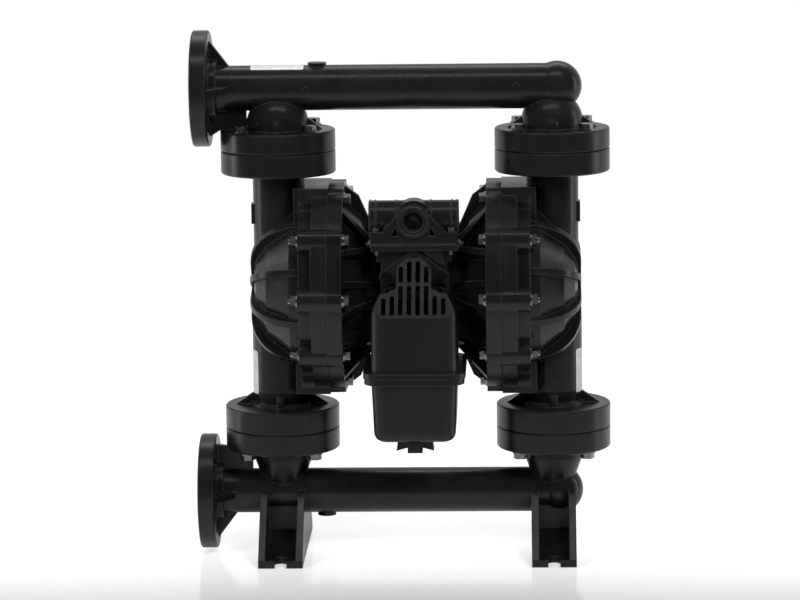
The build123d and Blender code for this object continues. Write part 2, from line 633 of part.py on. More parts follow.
def air_cover():
    body = turned([(COVER_JOINT_X, 0), (COVER_JOINT_X, AIR_RING_R), (AIR_FLANGE_X, AIR_RING_R), (AIR_FLANGE_X, 112),
                   (AIR_BACK_X + 4, 89), (AIR_BACK_X, 80), (AIR_BACK_X, HUB_RADIUS), (HOUSING_X, HUB_RADIUS),
                   (HOUSING_X, 0)])
    for angle in bolt_angles():
        body += rod_x(LOBE_R + 0.5, AIR_FLANGE_X, COVER_JOINT_X, *around(BOLT_CIRCLE_R, angle))
    lug_angle = 43.0
    lug_r = sqrt(ARM_Y ** 2 + ARM_Z ** 2)
    for back in (False, True):
        for up in (1, -1):
            def place(angle):
                angle = up * angle
                return 180 - angle if back else angle
            body += fin(place(27), place(lug_angle - 3), lug_r)
            body += fin(place(57), place(lug_angle + 3), lug_r)
            body += fin(place(9.5), place(9.5), HUB_RADIUS + 6, 96)
    for angle in (90, -90):
        body += fin(angle, angle, HUB_RADIUS + 6, 118)
    for y in (-ARM_Y, ARM_Y):
        for z in (AXIS_Z - ARM_Z, AXIS_Z + ARM_Z):
            body += rod_x(ARM_LUG_R, HOUSING_X, HOUSING_X + ARM_T, y, z)
            arm = Polyline([(HOUSING_X, 0, AXIS_Z), (HOUSING_X, y, z)])
            angle = arm.edges()[0].tangent_at(0)
            plane = Plane(origin=(HOUSING_X, y / 2, (AXIS_Z + z) / 2), x_dir=angle, z_dir=(1, 0, 0))
            body += extrude(plane * Rectangle(lug_r, 2 * ARM_LUG_R), amount=ARM_T)

    body -= turned([(COVER_JOINT_X + 1, 0), (COVER_JOINT_X + 1, RIM_IN_R), (COVER_JOINT_X - 9, RIM_IN_R), (86, PLATE_R + 16),
                    (AIR_WALL_X, PLATE_R + 7), (AIR_WALL_X, 0)])
    body -= turned([(COVER_JOINT_X + 1, RIM_IN_R - 2), (COVER_JOINT_X + 1, RIM_OUT_R + GAP),
                    (COVER_JOINT_X - RIM_T / 2, RIM_OUT_R + GAP), (COVER_JOINT_X - RIM_T / 2, RIM_IN_R - 2)])
    body -= rod_x(SHAFT_R + 2 * GAP, HOUSING_X - 1, AIR_WALL_X + 1, 0, AXIS_Z)
    body -= rod_x(SEAL_R + FIT, HOUSING_X - 1, HOUSING_X + SEAL_L, 0, AXIS_Z)
    body -= rod_x(PIN_R + 2 * GAP, HOUSING_X - 1, AIR_WALL_X + 1, PIN_Y, AXIS_Z + PIN_DZ)
    body -= rod_x(PIN_BUSH_R + FIT, AIR_WALL_X - PIN_BUSH_L, AIR_WALL_X + 1, PIN_Y, AXIS_Z + PIN_DZ)
    for angle in bolt_angles():
        body -= rod_x(M8[0] + HOLE_CLEARANCE, AIR_FLANGE_X - 1, COVER_JOINT_X + 1, *around(BOLT_CIRCLE_R, angle))
        body -= rod_x(M8[1] / 2 + 3, AIR_FLANGE_X - 14, AIR_FLANGE_X, *around(BOLT_CIRCLE_R, angle))
    for y, z in arm_screw_places():
        body -= rod_x(M8[0] + HOLE_CLEARANCE, HOUSING_X - 1, HOUSING_X + ARM_T + 1, y, z)
        body -= rod_x(M8[1] / 2 + 1.6, HOUSING_X + ARM_T, HOUSING_X + ARM_T + 16, y, z)
    return body


def arm_screw_places():
    return [(y, AXIS_Z + dz) for y in (-ARM_Y, ARM_Y) for dz in (-ARM_Z, ARM_Z)]


# ---------------------------------------------------------------- diaphragm group (right side)
def diaphragm():
    x_air, x_fluid = COVER_JOINT_X - DIAPHRAGM_T / 2, COVER_JOINT_X + DIAPHRAGM_T / 2
    middle = (RIM_IN_R + CONVOLUTE_IN_R) / 2
    hole = STUD_R + GAP

    def at(x, r):
        return (x, 0, AXIS_Z + r)
    edges = ThreePointArc(at(x_fluid, RIM_IN_R), at(x_fluid + CONVOLUTE_H, middle), at(x_fluid, CONVOLUTE_IN_R))
    edges += Polyline(at(x_fluid, CONVOLUTE_IN_R), at(x_fluid, hole), at(x_air, hole), at(x_air, CONVOLUTE_IN_R))
    edges += ThreePointArc(at(x_air, CONVOLUTE_IN_R), at(x_air + CONVOLUTE_H, middle), at(x_air, RIM_IN_R))
    edges += Line(at(x_air, RIM_IN_R), at(x_fluid, RIM_IN_R))
    sheet = revolve(make_face(edges), axis=Axis((0, 0, AXIS_Z), (1, 0, 0)))
    half = RIM_T / 2
    rim = turned([(COVER_JOINT_X - half, RIM_IN_R), (COVER_JOINT_X - half, RIM_OUT_R),
                  (COVER_JOINT_X + half, RIM_OUT_R), (COVER_JOINT_X + half, RIM_IN_R)])
    return sheet + rim


def air_plate():
    x1 = COVER_JOINT_X - DIAPHRAGM_T / 2
    x0 = x1 - AIR_PLATE_T
    return turned([(x0, STUD_R + FIT), (x0, PLATE_R - 4), (x0 + 4, PLATE_R), (x1 - 3, PLATE_R), (x1, PLATE_R - 3),
                   (x1, STUD_R + FIT)])


def fluid_plate():
    x0 = COVER_JOINT_X + DIAPHRAGM_T / 2
    x1 = x0 + FLUID_PLATE_T
    stud_end = x0 + STUD_IN_PLATE + FIT
    return turned([(x0, STUD_R + FIT), (x0, PLATE_R - 3), (x0 + 3, PLATE_R), (x0 + 6, PLATE_R - 1), (x1, PLATE_R - 18),
                   (x1, FLUID_NOSE_R + 4), (x1 + 5, FLUID_NOSE_R), (x1 + FLUID_NOSE_H, FLUID_NOSE_R - 8),
                   (x1 + FLUID_NOSE_H, 0), (stud_end, 0), (stud_end, STUD_R + FIT)])


def diaphragm_shaft():
    shoulder = COVER_JOINT_X - DIAPHRAGM_T / 2 - AIR_PLATE_T
    end = COVER_JOINT_X + DIAPHRAGM_T / 2 + STUD_IN_PLATE
    shaft = rod_x(SHAFT_R, -shoulder, shoulder, 0, AXIS_Z)
    shaft = chamfer(shaft.edges().filter_by(GeomType.CIRCLE), 1)
    return shaft + rod_x(STUD_R, -end, end, 0, AXIS_Z)


def shaft_bush():
    return rod_x(BUSH_R, HOUSING_X - BUSH_L, HOUSING_X, 0, AXIS_Z) - rod_x(SHAFT_R + FIT, 0, 100, 0, AXIS_Z)


def shaft_seal():
    x0, x1 = HOUSING_X, HOUSING_X + SEAL_L
    return turned([(x0, SHAFT_R + FIT), (x0, SEAL_R), (x1, SEAL_R), (x1, SEAL_R - 1.5), (x1 - 3, (SHAFT_R + SEAL_R) / 2),
                   (x1, SHAFT_R + 1.5), (x1, SHAFT_R + FIT)])


def pilot_pin():
    tip = AIR_PLATE_STOP_X - GAP
    pin = rod_x(PIN_R, PIN_TAIL_X, tip, PIN_Y, AXIS_Z + PIN_DZ)
    return chamfer(pin.edges().filter_by(GeomType.CIRCLE), 0.8)


AIR_PLATE_STOP_X = COVER_JOINT_X - DIAPHRAGM_T / 2 - AIR_PLATE_T - HALF_STROKE


def pilot_bush():
    y, z = PIN_Y, AXIS_Z + PIN_DZ
    outer = rod_x(PIN_BUSH_R, AIR_WALL_X - PIN_BUSH_L, AIR_WALL_X, y, z)
    return outer - rod_x(PIN_R + FIT, 0, 200, y, z)


# ---------------------------------------------------------------- centre housing and air valve
def center_housing():
    body = rod_x(DRUM_R, -HOUSING_X, HOUSING_X, 0, AXIS_Z)
    body += block((-DECK_X, DECK_X), DECK_Y, DECK_Z)
    body += block((-PAD_X, PAD_X), (PAD_Y, -30), (PAD_Z, DECK_Z[0] + 1))
    body += block((-PAD_X, PAD_X), (PAD_Y, PAD_Y + 12), (PAD_Z, DECK_Z[0] + 12))
    body += block((-VALVE_BASE_X, VALVE_BASE_X), (VALVE_BASE_Y[0], PAD_Y + 1), (VALVE_LEDGE_Z, DECK_Z[1]))
    body += profile_y(GROUND_LUG, DECK_Y[0] - 7, DECK_Y[0] + 4)
    for side in (1, -1):
        for y, z in arm_screw_places():
            body += rod_x(ARM_LUG_R, side * (HOUSING_X - 20), side * HOUSING_X, y, z)
            plane = Plane(origin=(side * HOUSING_X, y / 2, (AXIS_Z + z) / 2), x_dir=(0, y, z - AXIS_Z), z_dir=(-side, 0, 0))
            body += extrude(plane * Rectangle(sqrt(ARM_Y ** 2 + ARM_Z ** 2), 2 * ARM_LUG_R), amount=20)
    body -= block((-VALVE_BASE_X - 1, VALVE_BASE_X + 1), (VALVE_BASE_Y[0] - 10, DECK_Y[1]), (DECK_Z[1], DECK_Z[1] + 20))
    body -= rod_x(SHAFT_R + 1, -HOUSING_X - 1, HOUSING_X + 1, 0, AXIS_Z)
    for side in (1, -1):
        body -= rod_x(BUSH_R + FIT, side * (HOUSING_X - BUSH_L), side * (HOUSING_X + 1), 0, AXIS_Z)
        body -= rod_x(PIN_R + 2 * GAP, side * (PIN_TAIL_X - PIN_TRAVEL - 5), side * (HOUSING_X + 1), PIN_Y, AXIS_Z + PIN_DZ)
        for y, z in arm_screw_places():
            body -= rod_x(M8[0] + FIT, side * (HOUSING_X - 18), side * (HOUSING_X + 1), y, z)
    body -= rod_y(EXHAUST_R, PAD_Y - 1, -72, 0, EXHAUST_Z)
    body -= rod_z(EXHAUST_R * 0.5, EXHAUST_Z, DECK_Z[1] + 1, 0, VALVE_Y)
    for side in (1, -1):
        body -= rod_y(M6[0] + FIT, PAD_Y - 1, PAD_Y + 16, side * HOOD_SCREW_X, HOOD_SCREW_Z)
    for x, y in valve_screw_places():
        body -= rod_z(M6[0] + FIT, DECK_Z[1] - 14, DECK_Z[1] + 1, x, y)
    return body


def valve_screw_places():
    return [(side * x, y) for side in (1, -1) for x, y in zip(VALVE_SCREW_X, VALVE_SCREW_Y)]


def air_valve_gasket():
    top = DECK_Z[1] + GASKET_T
    body = block((-VALVE_X, VALVE_X), VALVE_BASE_Y, (DECK_Z[1], top))
    body += block((-VALVE_BASE_X, VALVE_BASE_X), VALVE_WIDE_Y, (DECK_Z[1], top))
    body -= block((-VALVE_PLATE[0] / 2 - 1, VALVE_PLATE[0] / 2 + 1),
                  (VALVE_Y - VALVE_PLATE[1] / 2 - 1, VALVE_Y + VALVE_PLATE[1] / 2 + 1), (DECK_Z[1] - 1, top + 1))
    for x, y in valve_screw_places():
        body -= rod_z(M6[0] + HOLE_CLEARANCE, DECK_Z[1] - 1, top + 1, x, y)
    return body


def valve_plate():
    length, width, height = VALVE_PLATE
    z0 = DECK_Z[1]
    body = block((-length / 2, length / 2), (VALVE_Y - width / 2, VALVE_Y + width / 2), (z0, z0 + height))
    for x in (-13, 0, 13):
        body -= block((x - 3, x + 3), (VALVE_Y - 6, VALVE_Y + 6), (z0 - 1, z0 + height + 1))
    return body


def valve_cup():
    length, width, height = CUP
    z0 = DECK_Z[1] + VALVE_PLATE[2]
    body = block((-length / 2, length / 2), (VALVE_Y - width / 2, VALVE_Y + width / 2), (z0, z0 + height))
    return body - block((-length / 2 + 3, length / 2 - 3), (VALVE_Y - width / 2 + 3, VALVE_Y + width / 2 - 3),
                        (z0 - 1, z0 + height - 3))


def air_valve_spool():
    """Spool with a land at each end and a waist that carries the valve cup."""
    spool = rod_x(SPOOL_R - FIT, -SPOOL_X, SPOOL_X, 0 + VALVE_Y, VALVE_Z)
    waist = rod_x(SPOOL_R + 1, -CUP[0] / 2 - 6, CUP[0] / 2 + 6, VALVE_Y, VALVE_Z)
    waist -= rod_x(SPOOL_R * 0.55, -60, 60, VALVE_Y, VALVE_Z)
    spool -= waist
    cup_top = DECK_Z[1] + VALVE_PLATE[2] + CUP[2]
    for side in (1, -1):
        x0, x1 = sorted((side * (CUP[0] / 2 + FIT), side * (CUP[0] / 2 + 4)))
        spool += block((x0, x1), (VALVE_Y - 6, VALVE_Y + 6), (cup_top - 5, VALVE_Z))
    return spool


def air_valve_body():
    gasket_top = DECK_Z[1] + GASKET_T
    body = rod_x(VALVE_R, -VALVE_X, VALVE_X, VALVE_Y, VALVE_Z)
    body += block((-VALVE_X, VALVE_X), VALVE_BASE_Y, (gasket_top, VALVE_BASE_Z))
    body += block((-VALVE_BASE_X, VALVE_BASE_X), VALVE_WIDE_Y, (gasket_top, VALVE_BASE_Z))
    for x in (-BODY_BEAD_X, BODY_BEAD_X):
        body += rod_x(VALVE_R + BEAD[1], x - BEAD[0] / 2, x + BEAD[0] / 2, VALVE_Y, VALVE_Z)
    body += rod_y(BOSS_R + 4, VALVE_Y - 18, VALVE_Y + 12, 0, VALVE_Z + 1)
    body += rod_y(BOSS_R, BOSS_FACE_Y, VALVE_Y, 0, VALVE_Z)
    web = [(-17, VALVE_Z + 10), (-38, VALVE_BASE_Z + 3), (-38, gasket_top), (38, gasket_top), (38, VALVE_BASE_Z + 3),
           (17, VALVE_Z + 10)]
    body += profile_y(web, VALVE_BASE_Y[0], VALVE_Y)
    for side in (1, -1):
        pocket = [(side * 19.5, VALVE_Z - 18), (side * 28, VALVE_Z - 18), (side * 22.7, VALVE_Z - 6.7)]
        body -= profile_y(pocket, BOSS_FACE_Y, BOSS_FACE_Y + 22)
    for x, y in valve_screw_places():
        body -= rod_z(SCREW_HEAD_R + 0.6, VALVE_BASE_Z, VALVE_Z + VALVE_R, x, y)
        body -= rod_z(M6[0] + HOLE_CLEARANCE, gasket_top - 1, VALVE_BASE_Z + 1, x, y)
    body -= rod_x(SPOOL_R, -VALVE_X - 1, VALVE_X + 1, VALVE_Y, VALVE_Z)
    body -= block((-VALVE_PLATE[0] / 2 - 1, VALVE_PLATE[0] / 2 + 1),
                  (VALVE_Y - VALVE_PLATE[1] / 2 - 1, VALVE_Y + VALVE_PLATE[1] / 2 + 1), (gasket_top - 1, VALVE_Z))
    thread_y = BOSS_FACE_Y + INLET_MOUTH_T
    body -= rod_y(INLET_R, BOSS_FACE_Y - 1, thread_y + INLET_DEPTH, 0, VALVE_Z)
    body -= rod_y(INLET_PASSAGE_R, thread_y, VALVE_Y - SPOOL_R * 0.8, 0, VALVE_Z)
    body -= rod_y(INLET_MOUTH_R, BOSS_FACE_Y - 1, thread_y, 0, VALVE_Z)
    return body


def air_valve_cap():
    x0, x1 = VALVE_X, VALVE_X + CAP_T
    cap = rod_x(VALVE_R, x0, x1, VALVE_Y, VALVE_Z)
    for x in (x0 + 1, x1 - 1 - BEAD[0]):
        cap += rod_x(VALVE_R + BEAD[1], x, x + BEAD[0], VALVE_Y, VALVE_Z)
    cap += block((x0, x1), (VALVE_Y - 18, VALVE_Y + 18), (VALVE_Z - VALVE_R, VALVE_Z))
    return cap + rod_x(SPOOL_R - FIT, x0 - 2, x0 + 1, VALVE_Y, VALVE_Z)


# ---------------------------------------------------------------- muffler
def hood_form(inset):
    """Outer form of the hood above the lip, drawn in by a wall thickness."""
    x, front = MUFFLER_X - inset, MUFFLER_FRONT_Y + inset
    back = PAD_Y
    z0 = LIP_Z[1] - 1
    right = [(x, z0), (x, HOOD_SHOULDER_Z), (50 - inset, 346), (42 - inset, 361), (22 - inset, 367), (22 - inset, 388),
             (19 - inset, 394), (11 - inset, 401 - inset), (4, HOOD_TOP_Z - inset)]
    outline = right + [(-px, pz) for px, pz in reversed(right)]
    side = [(back, z0), (front, z0), (front, HOOD_SHOULDER_Z - inset / 2), (back - HOOD_FLANGE_T, HOOD_TOP_Z - inset),
            (back, HOOD_TOP_Z - inset)]
    face = profile_y(outline, front, back) & profile_x(side, -x, x)
    plan = plan_block(x, (front, back + 60), (z0, HOOD_TOP_Z), MUFFLER_CORNER_R - inset)
    top = face & plan
    rear = plan_block(x, (front, MUFFLER_BACK_Y - inset), (z0, HOOD_BACK_Z - inset), MUFFLER_CORNER_R - inset)
    return top + rear


def grille_slot(x, z0, z1):
    """Round-cornered slot through the sloping face of the hood."""
    depth = PAD_Y - HOOD_FLANGE_T - 1 - MUFFLER_FRONT_Y + 5
    plane = Plane(origin=(x, PAD_Y - HOOD_FLANGE_T - 1, (z0 + z1) / 2), x_dir=(1, 0, 0), z_dir=(0, -1, 0))
    return extrude(plane * RectangleRounded(SLOT_W, z1 - z0, SLOT_END_R), amount=depth)


def muffler_hood():
    body = hood_form(0)
    lugs = [Pos(s * HOOD_SCREW_X, HOOD_SCREW_Z) * Circle(9) for s in (1, -1)] + [Pos(0, HOOD_TOP_Z - 6) * Circle(12)]
    lozenge = make_hull(Sketch(children=lugs).edges())
    plane = Plane(origin=(0, PAD_Y, 0), x_dir=(1, 0, 0), z_dir=(0, -1, 0))
    flange = extrude(plane * lozenge, amount=HOOD_FLANGE_T)
    body += flange
    body += plan_block(LIP_X, (MUFFLER_FRONT_Y - LIP_OUT, MUFFLER_BACK_Y + LIP_OUT), (lip_split() + FIT, LIP_Z[1]),
                       MUFFLER_CORNER_R + 6)
    body -= hood_form(HOOD_WALL)
    body -= plan_block(MUFFLER_X - HOOD_WALL, (MUFFLER_FRONT_Y + HOOD_WALL, MUFFLER_BACK_Y - HOOD_WALL),
                       (lip_split() - 1, LIP_Z[1]), MUFFLER_CORNER_R - HOOD_WALL)
    for foot_z, tops in (LOWER_SLOTS, UPPER_SLOTS):
        for i, top_z in enumerate(tops):
            for side in (1, -1):
                body -= grille_slot(side * (i + 0.5) * SLOT_PITCH, foot_z, top_z)
    body -= rod_y(EXHAUST_R, PAD_Y - HOOD_FLANGE_T - 1, PAD_Y + 1, 0, EXHAUST_Z)
    for side in (1, -1):
        body -= rod_y(M6[0] + HOLE_CLEARANCE, PAD_Y - 30, PAD_Y + 1, side * HOOD_SCREW_X, HOOD_SCREW_Z)
        x, seat = side * HOOD_SCREW_X, PAD_Y - HOOD_FLANGE_T
        low_z = HOOD_POCKET_Z + HOOD_POCKET_R
        body -= block((x - HOOD_POCKET_R, x + HOOD_POCKET_R), (PAD_Y - 60, seat), (low_z, HOOD_SCREW_Z))
        for z in (low_z, HOOD_SCREW_Z):
            body -= rod_y(HOOD_POCKET_R, PAD_Y - 60, seat, x, z)
    return body


def lip_split():
    return sum(LIP_Z) / 2


def bowl_form(inset):
    x, front, back = MUFFLER_X - inset, MUFFLER_FRONT_Y + inset + 2, MUFFLER_BACK_Y - inset - 2
    corner = MUFFLER_CORNER_R - inset
    top = Pos(0, (front + back) / 2, LIP_Z[0] + 1) * RectangleRounded(2 * x, back - front, corner)
    low = Pos(0, (front + back) / 2, BOWL_BOTTOM_Z + inset) * RectangleRounded(
        2 * (x - BOWL_DRAFT), back - front - 2 * BOWL_DRAFT, corner)
    return loft([low, top])


def muffler_bowl():
    body = bowl_form(0)
    body = fillet(body.faces().sort_by(Axis.Z)[0].edges(), 12)
    body += plan_block(LIP_X - 1.5, (MUFFLER_FRONT_Y - LIP_OUT + 1.5, MUFFLER_BACK_Y + LIP_OUT - 1.5),
                       (LIP_Z[0], lip_split()), MUFFLER_CORNER_R + 5)
    inside = bowl_form(HOOD_WALL)
    inside = fillet(inside.faces().sort_by(Axis.Z)[0].edges(), 9)
    body -= inside
    body -= plan_block(MUFFLER_X - HOOD_WALL - 2, (MUFFLER_FRONT_Y + HOOD_WALL + 4, MUFFLER_BACK_Y - HOOD_WALL - 4),
                       (LIP_Z[0] - 1, lip_split() + 1), MUFFLER_CORNER_R - HOOD_WALL - 2)
    return body


def muffler_element():
    """Folded felt element that stands in the bowl."""
    x, front, back = MUFFLER_X - 17, MUFFLER_FRONT_Y + 20, MUFFLER_BACK_Y - 20
    z0 = BOWL_BOTTOM_Z + HOOD_WALL
    body = plan_block(x, (front, back), (z0, LIP_Z[0] + 2), 10)
    return body - plan_block(x - 12, (front + 12, back - 12), (z0 + 10, LIP_Z[0] + 3), 6)


def muffler_clip():
    """Spring latch under the bowl: a tongue and two wings."""
    z0, z1 = BOWL_BOTTOM_Z - 15, BOWL_BOTTOM_Z
    y0, y1 = MUFFLER_FRONT_Y + 18, MUFFLER_FRONT_Y + 46
    body = block((-9.5, 9.5), (y0, y1), (z0, z1))
    for side in (1, -1):
        wing = [(side * 9, z1), (side * 22, z1), (side * 24, z0 + 2), (side * 9, z0 + 6)]
        body += profile_y(wing, y0 + 6, y1)
    return body


# ---------------------------------------------------------------- fastener groups
def cover_bolts():
    solids = []
    for angle in bolt_angles():
        place = around(BOLT_CIRCLE_R, angle)
        tip_x = BLIND_TIP_X if ends_in_block(angle) else FLUID_FLANGE_X + WASHER_T + M8[2] + 3
        solids.append(bolt(M8, (AIR_FLANGE_X, *place), (tip_x, *place), WASHER_T))
    return group(solids)


def nut_places():
    return [(FLUID_FLANGE_X, *around(BOLT_CIRCLE_R, angle)) for angle in bolt_angles() if not ends_in_block(angle)]


def cover_washers():
    heads = [washer(M8, (AIR_FLANGE_X, *around(BOLT_CIRCLE_R, angle)), (-1, 0, 0)) for angle in bolt_angles()]
    return group(heads + [washer(M8, place, (1, 0, 0)) for place in nut_places()])


def cover_nuts():
    return group([nut(M8, place, (1, 0, 0), WASHER_T) for place in nut_places()])


def manifold_bolts(face_z, seat_z, out):
    tip = face_z - out * (INSERT[1] - 1)
    return group([bolt(M10, (bx, by, seat_z), (bx, by, tip), WASHER_T)
                  for x in (-COLUMN_X, COLUMN_X) for bx, by in flange_bolt_places(x)])


def manifold_washers(seat_z, out):
    return group([washer(M10, (bx, by, seat_z), (0, 0, out))
                  for x in (-COLUMN_X, COLUMN_X) for bx, by in flange_bolt_places(x)])


def arm_screws():
    seat = HOUSING_X + ARM_T
    return group([bolt(M8, (seat, y, z), (HOUSING_X - 17, y, z)) for y, z in arm_screw_places()])


def valve_screws():
    top, tip = VALVE_BASE_Z + SCREW_HEAD_R, DECK_Z[1] - 13
    return group([rod_z(SCREW_HEAD_R, VALVE_BASE_Z, top, x, y) + rod_z(M6[0], tip, VALVE_BASE_Z, x, y)
                  for x, y in valve_screw_places()])


def hood_screws():
    seat = PAD_Y - HOOD_FLANGE_T
    return group([rod_y(5.4, seat - 3.6, seat, s * HOOD_SCREW_X, HOOD_SCREW_Z)
                  + rod_y(M6[0], seat, PAD_Y + 15, s * HOOD_SCREW_X, HOOD_SCREW_Z) for s in (1, -1)])


# ---------------------------------------------------------------- the pump
def build():
    PARTS["outlet_manifold"] = outlet_manifold()
    PARTS["inlet_manifold"] = inlet_manifold()
    pairs = {"fluid_cover": fluid_cover, "air_cover": air_cover, "diaphragm": diaphragm, "air_side_plate": air_plate,
             "fluid_side_plate": fluid_plate, "shaft_bushing": shaft_bush, "shaft_seal": shaft_seal,
             "pilot_pin": pilot_pin, "pilot_bushing": pilot_bush, "air_valve_cap": air_valve_cap,
             "cover_bolts": cover_bolts, "cover_washers": cover_washers, "cover_nuts": cover_nuts,
             "air_cover_screws": arm_screws}
    for name, make in pairs.items():
        right = make()
        PARTS[name + "_right"] = right
        PARTS[name + "_left"] = left(right)
    for side, x in (("left", -COLUMN_X), ("right", COLUMN_X)):
        for level, face_z in (("inlet", BOTTOM_FACE_Z), ("outlet", TOP_FACE_Z)):
            PARTS[f"{level}_seat_{side}"] = check_seat(x, face_z)
            PARTS[f"{level}_ball_{side}"] = check_ball(x, face_z)
    PARTS["seat_rings"] = group([seat_ring(x, z) for x in (-COLUMN_X, COLUMN_X) for z in (BOTTOM_FACE_Z, TOP_FACE_Z)])
    PARTS["diaphragm_shaft"] = diaphragm_shaft()
    PARTS["center_housing"] = center_housing()
    PARTS["air_valve_body"] = air_valve_body()
    PARTS["air_valve_gasket"] = air_valve_gasket()
    PARTS["air_valve_spool"] = air_valve_spool()
    PARTS["valve_cup"] = valve_cup()
    PARTS["valve_plate"] = valve_plate()
    PARTS["muffler_hood"] = muffler_hood()
    PARTS["muffler_bowl"] = muffler_bowl()
    PARTS["muffler_element"] = muffler_element()
    PARTS["muffler_clip"] = muffler_clip()
    outlet_seat, inlet_seat = TOP_FACE_Z + OUTLET_FLANGE_T, BOTTOM_FACE_Z - INLET_FLANGE_T
    PARTS["outlet_bolts"] = manifold_bolts(TOP_FACE_Z, outlet_seat, 1)
    PARTS["outlet_washers"] = manifold_washers(outlet_seat, 1)
    PARTS["outlet_inserts"] = inserts(TOP_FACE_Z, -1)
    PARTS["inlet_bolts"] = manifold_bolts(BOTTOM_FACE_Z, inlet_seat, -1)
    PARTS["inlet_washers"] = manifold_washers(inlet_seat, -1)
    PARTS["inlet_inserts"] = inserts(BOTTOM_FACE_Z, 1)
    PARTS["air_valve_screws"] = valve_screws()
    PARTS["muffler_screws"] = hood_screws()


build()
os.makedirs("parts", exist_ok=True)
for name, shape in PARTS.items():
    export_step(shape, f"parts/{name}.step")
    print(name, round(shape.volume))
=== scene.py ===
"""Looks of the air operated diaphragm pump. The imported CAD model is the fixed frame; all sizes are in
metres."""
import json
import math

import bmesh
import bpy
import numpy as np
from mathutils import Euler, Matrix, Vector


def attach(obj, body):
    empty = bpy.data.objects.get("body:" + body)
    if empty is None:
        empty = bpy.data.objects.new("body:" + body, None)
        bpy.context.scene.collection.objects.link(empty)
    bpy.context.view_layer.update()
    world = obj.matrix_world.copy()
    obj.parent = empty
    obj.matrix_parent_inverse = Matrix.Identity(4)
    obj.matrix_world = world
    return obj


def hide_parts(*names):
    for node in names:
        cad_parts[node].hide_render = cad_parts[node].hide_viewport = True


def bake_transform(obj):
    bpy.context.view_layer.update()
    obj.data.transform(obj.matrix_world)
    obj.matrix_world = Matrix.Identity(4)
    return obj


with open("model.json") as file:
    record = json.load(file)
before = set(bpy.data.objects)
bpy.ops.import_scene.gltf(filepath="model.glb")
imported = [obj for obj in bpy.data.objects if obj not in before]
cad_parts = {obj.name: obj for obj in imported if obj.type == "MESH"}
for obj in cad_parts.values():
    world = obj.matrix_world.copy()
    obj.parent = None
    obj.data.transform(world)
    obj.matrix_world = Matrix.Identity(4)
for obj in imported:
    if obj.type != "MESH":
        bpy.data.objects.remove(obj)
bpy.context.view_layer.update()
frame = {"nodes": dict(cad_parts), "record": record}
NODES = frame["nodes"]
MM = 0.001


# ---------------------------------------------------------------- colours and nodes
NOISE, CELLS, MAPPING = "ShaderNodeTexNoise", "ShaderNodeTexVoronoi", "ShaderNodeMapping"
RANGE, MIX, MATH = "ShaderNodeMapRange", "ShaderNodeMix", "ShaderNodeMath"
BUMP, BEVEL, RAY = "ShaderNodeBump", "ShaderNodeBevel", "ShaderNodeLightPath"
BEVEL_SAMPLES = 6
USUAL = (0.3, 0.7)             # nearly all of a noise's values lie between these
WEAR_AND_HIGHLIGHT_FROM, WEAR_AND_HIGHLIGHT_FULL = 0.97, 0.72     # cosines between a face's own normal and its rounded one, where an edge's rubbed wear and painted highlight start and are full


def linear(code):
    """Linear colour with alpha from an sRGB hex code: v / 12.92 for dark values, and otherwise
    ((v + 0.055) / 1.055) to the power 2.4."""
    values = [int(code[i:i + 2], 16) / 255 for i in (1, 3, 5)]
    return [v / 12.92 if v <= 0.04045 else ((v + 0.055) / 1.055) ** 2.4 for v in values] + [1.0]


def fill(tree, node, inputs):
    """Gives a node its inputs, by name or by number: a socket is linked, and anything else is set."""
    for key, value in inputs.items():
        if isinstance(value, bpy.types.NodeSocket):
            tree.links.new(value, node.inputs[key])
        else:
            node.inputs[key].default_value = value


def add(tree, kind, inputs, output=0, **settings):
    """Adds one node with its settings and inputs, and gives back the output asked for. A colour mix takes
    its factor as input 0 and its colours as 6 and 7, and gives output 2."""
    made = tree.nodes.new(kind)
    for name, value in settings.items():
        setattr(made, name, value)
    fill(tree, made, inputs)
    return made.outputs[output]


def spread(value, low, high, across=USUAL):
    """Inputs of a range node: low + (high - low) * (value - start) / (end - start), held between low and
    high."""
    return {"Value": value, "From Min": across[0], "From Max": across[1], "To Min": low, "To Max": high}


def edge_wear_and_highlight(tree, rounded):
    """How far an edge is worn and painted with a highlight: 0 where the rounded normal is the face's own, and
    rising evenly with the cosine between the two, from 0 at the first of the two edge cosines set above to 1
    at the second."""
    own = add(tree, "ShaderNodeNewGeometry", {}, "Normal")
    meet = add(tree, "ShaderNodeVectorMath", {0: own, 1: rounded}, "Value", operation="DOT_PRODUCT")
    return add(tree, RANGE, spread(meet, 0.0, 1.0, (WEAR_AND_HIGHLIGHT_FROM, WEAR_AND_HIGHLIGHT_FULL)), "Result")


def new_material(name):
    """Empty material, its node tree and the Object coordinates that its patterns are laid on."""
    material = bpy.data.materials.new(name)
    material.use_nodes = True
    tree = material.node_tree
    return material, tree, add(tree, "ShaderNodeTexCoord", {}, "Object")


# ---------------------------------------------------------------- materials
EDGE_WEAR_AND_HIGHLIGHT = "#3a3a3c"         # a moulded edge turns to this paler grey, as rubbed wear and as a painted highlight
FLOW, FIBRE, SINK = 45 * MM, 1.4 * MM, 9 * MM     # flow marks, fibre mottle, and sink waves between ribs
FLOW_STRETCH = (1, 1, 0.45)    # flow marks run up and down
SINK_DEPTH, GRAIN_DEPTH = 0.10 * MM, 0.018 * MM
EDGE_POLISH = 0.10             # a rubbed edge is smoother by this
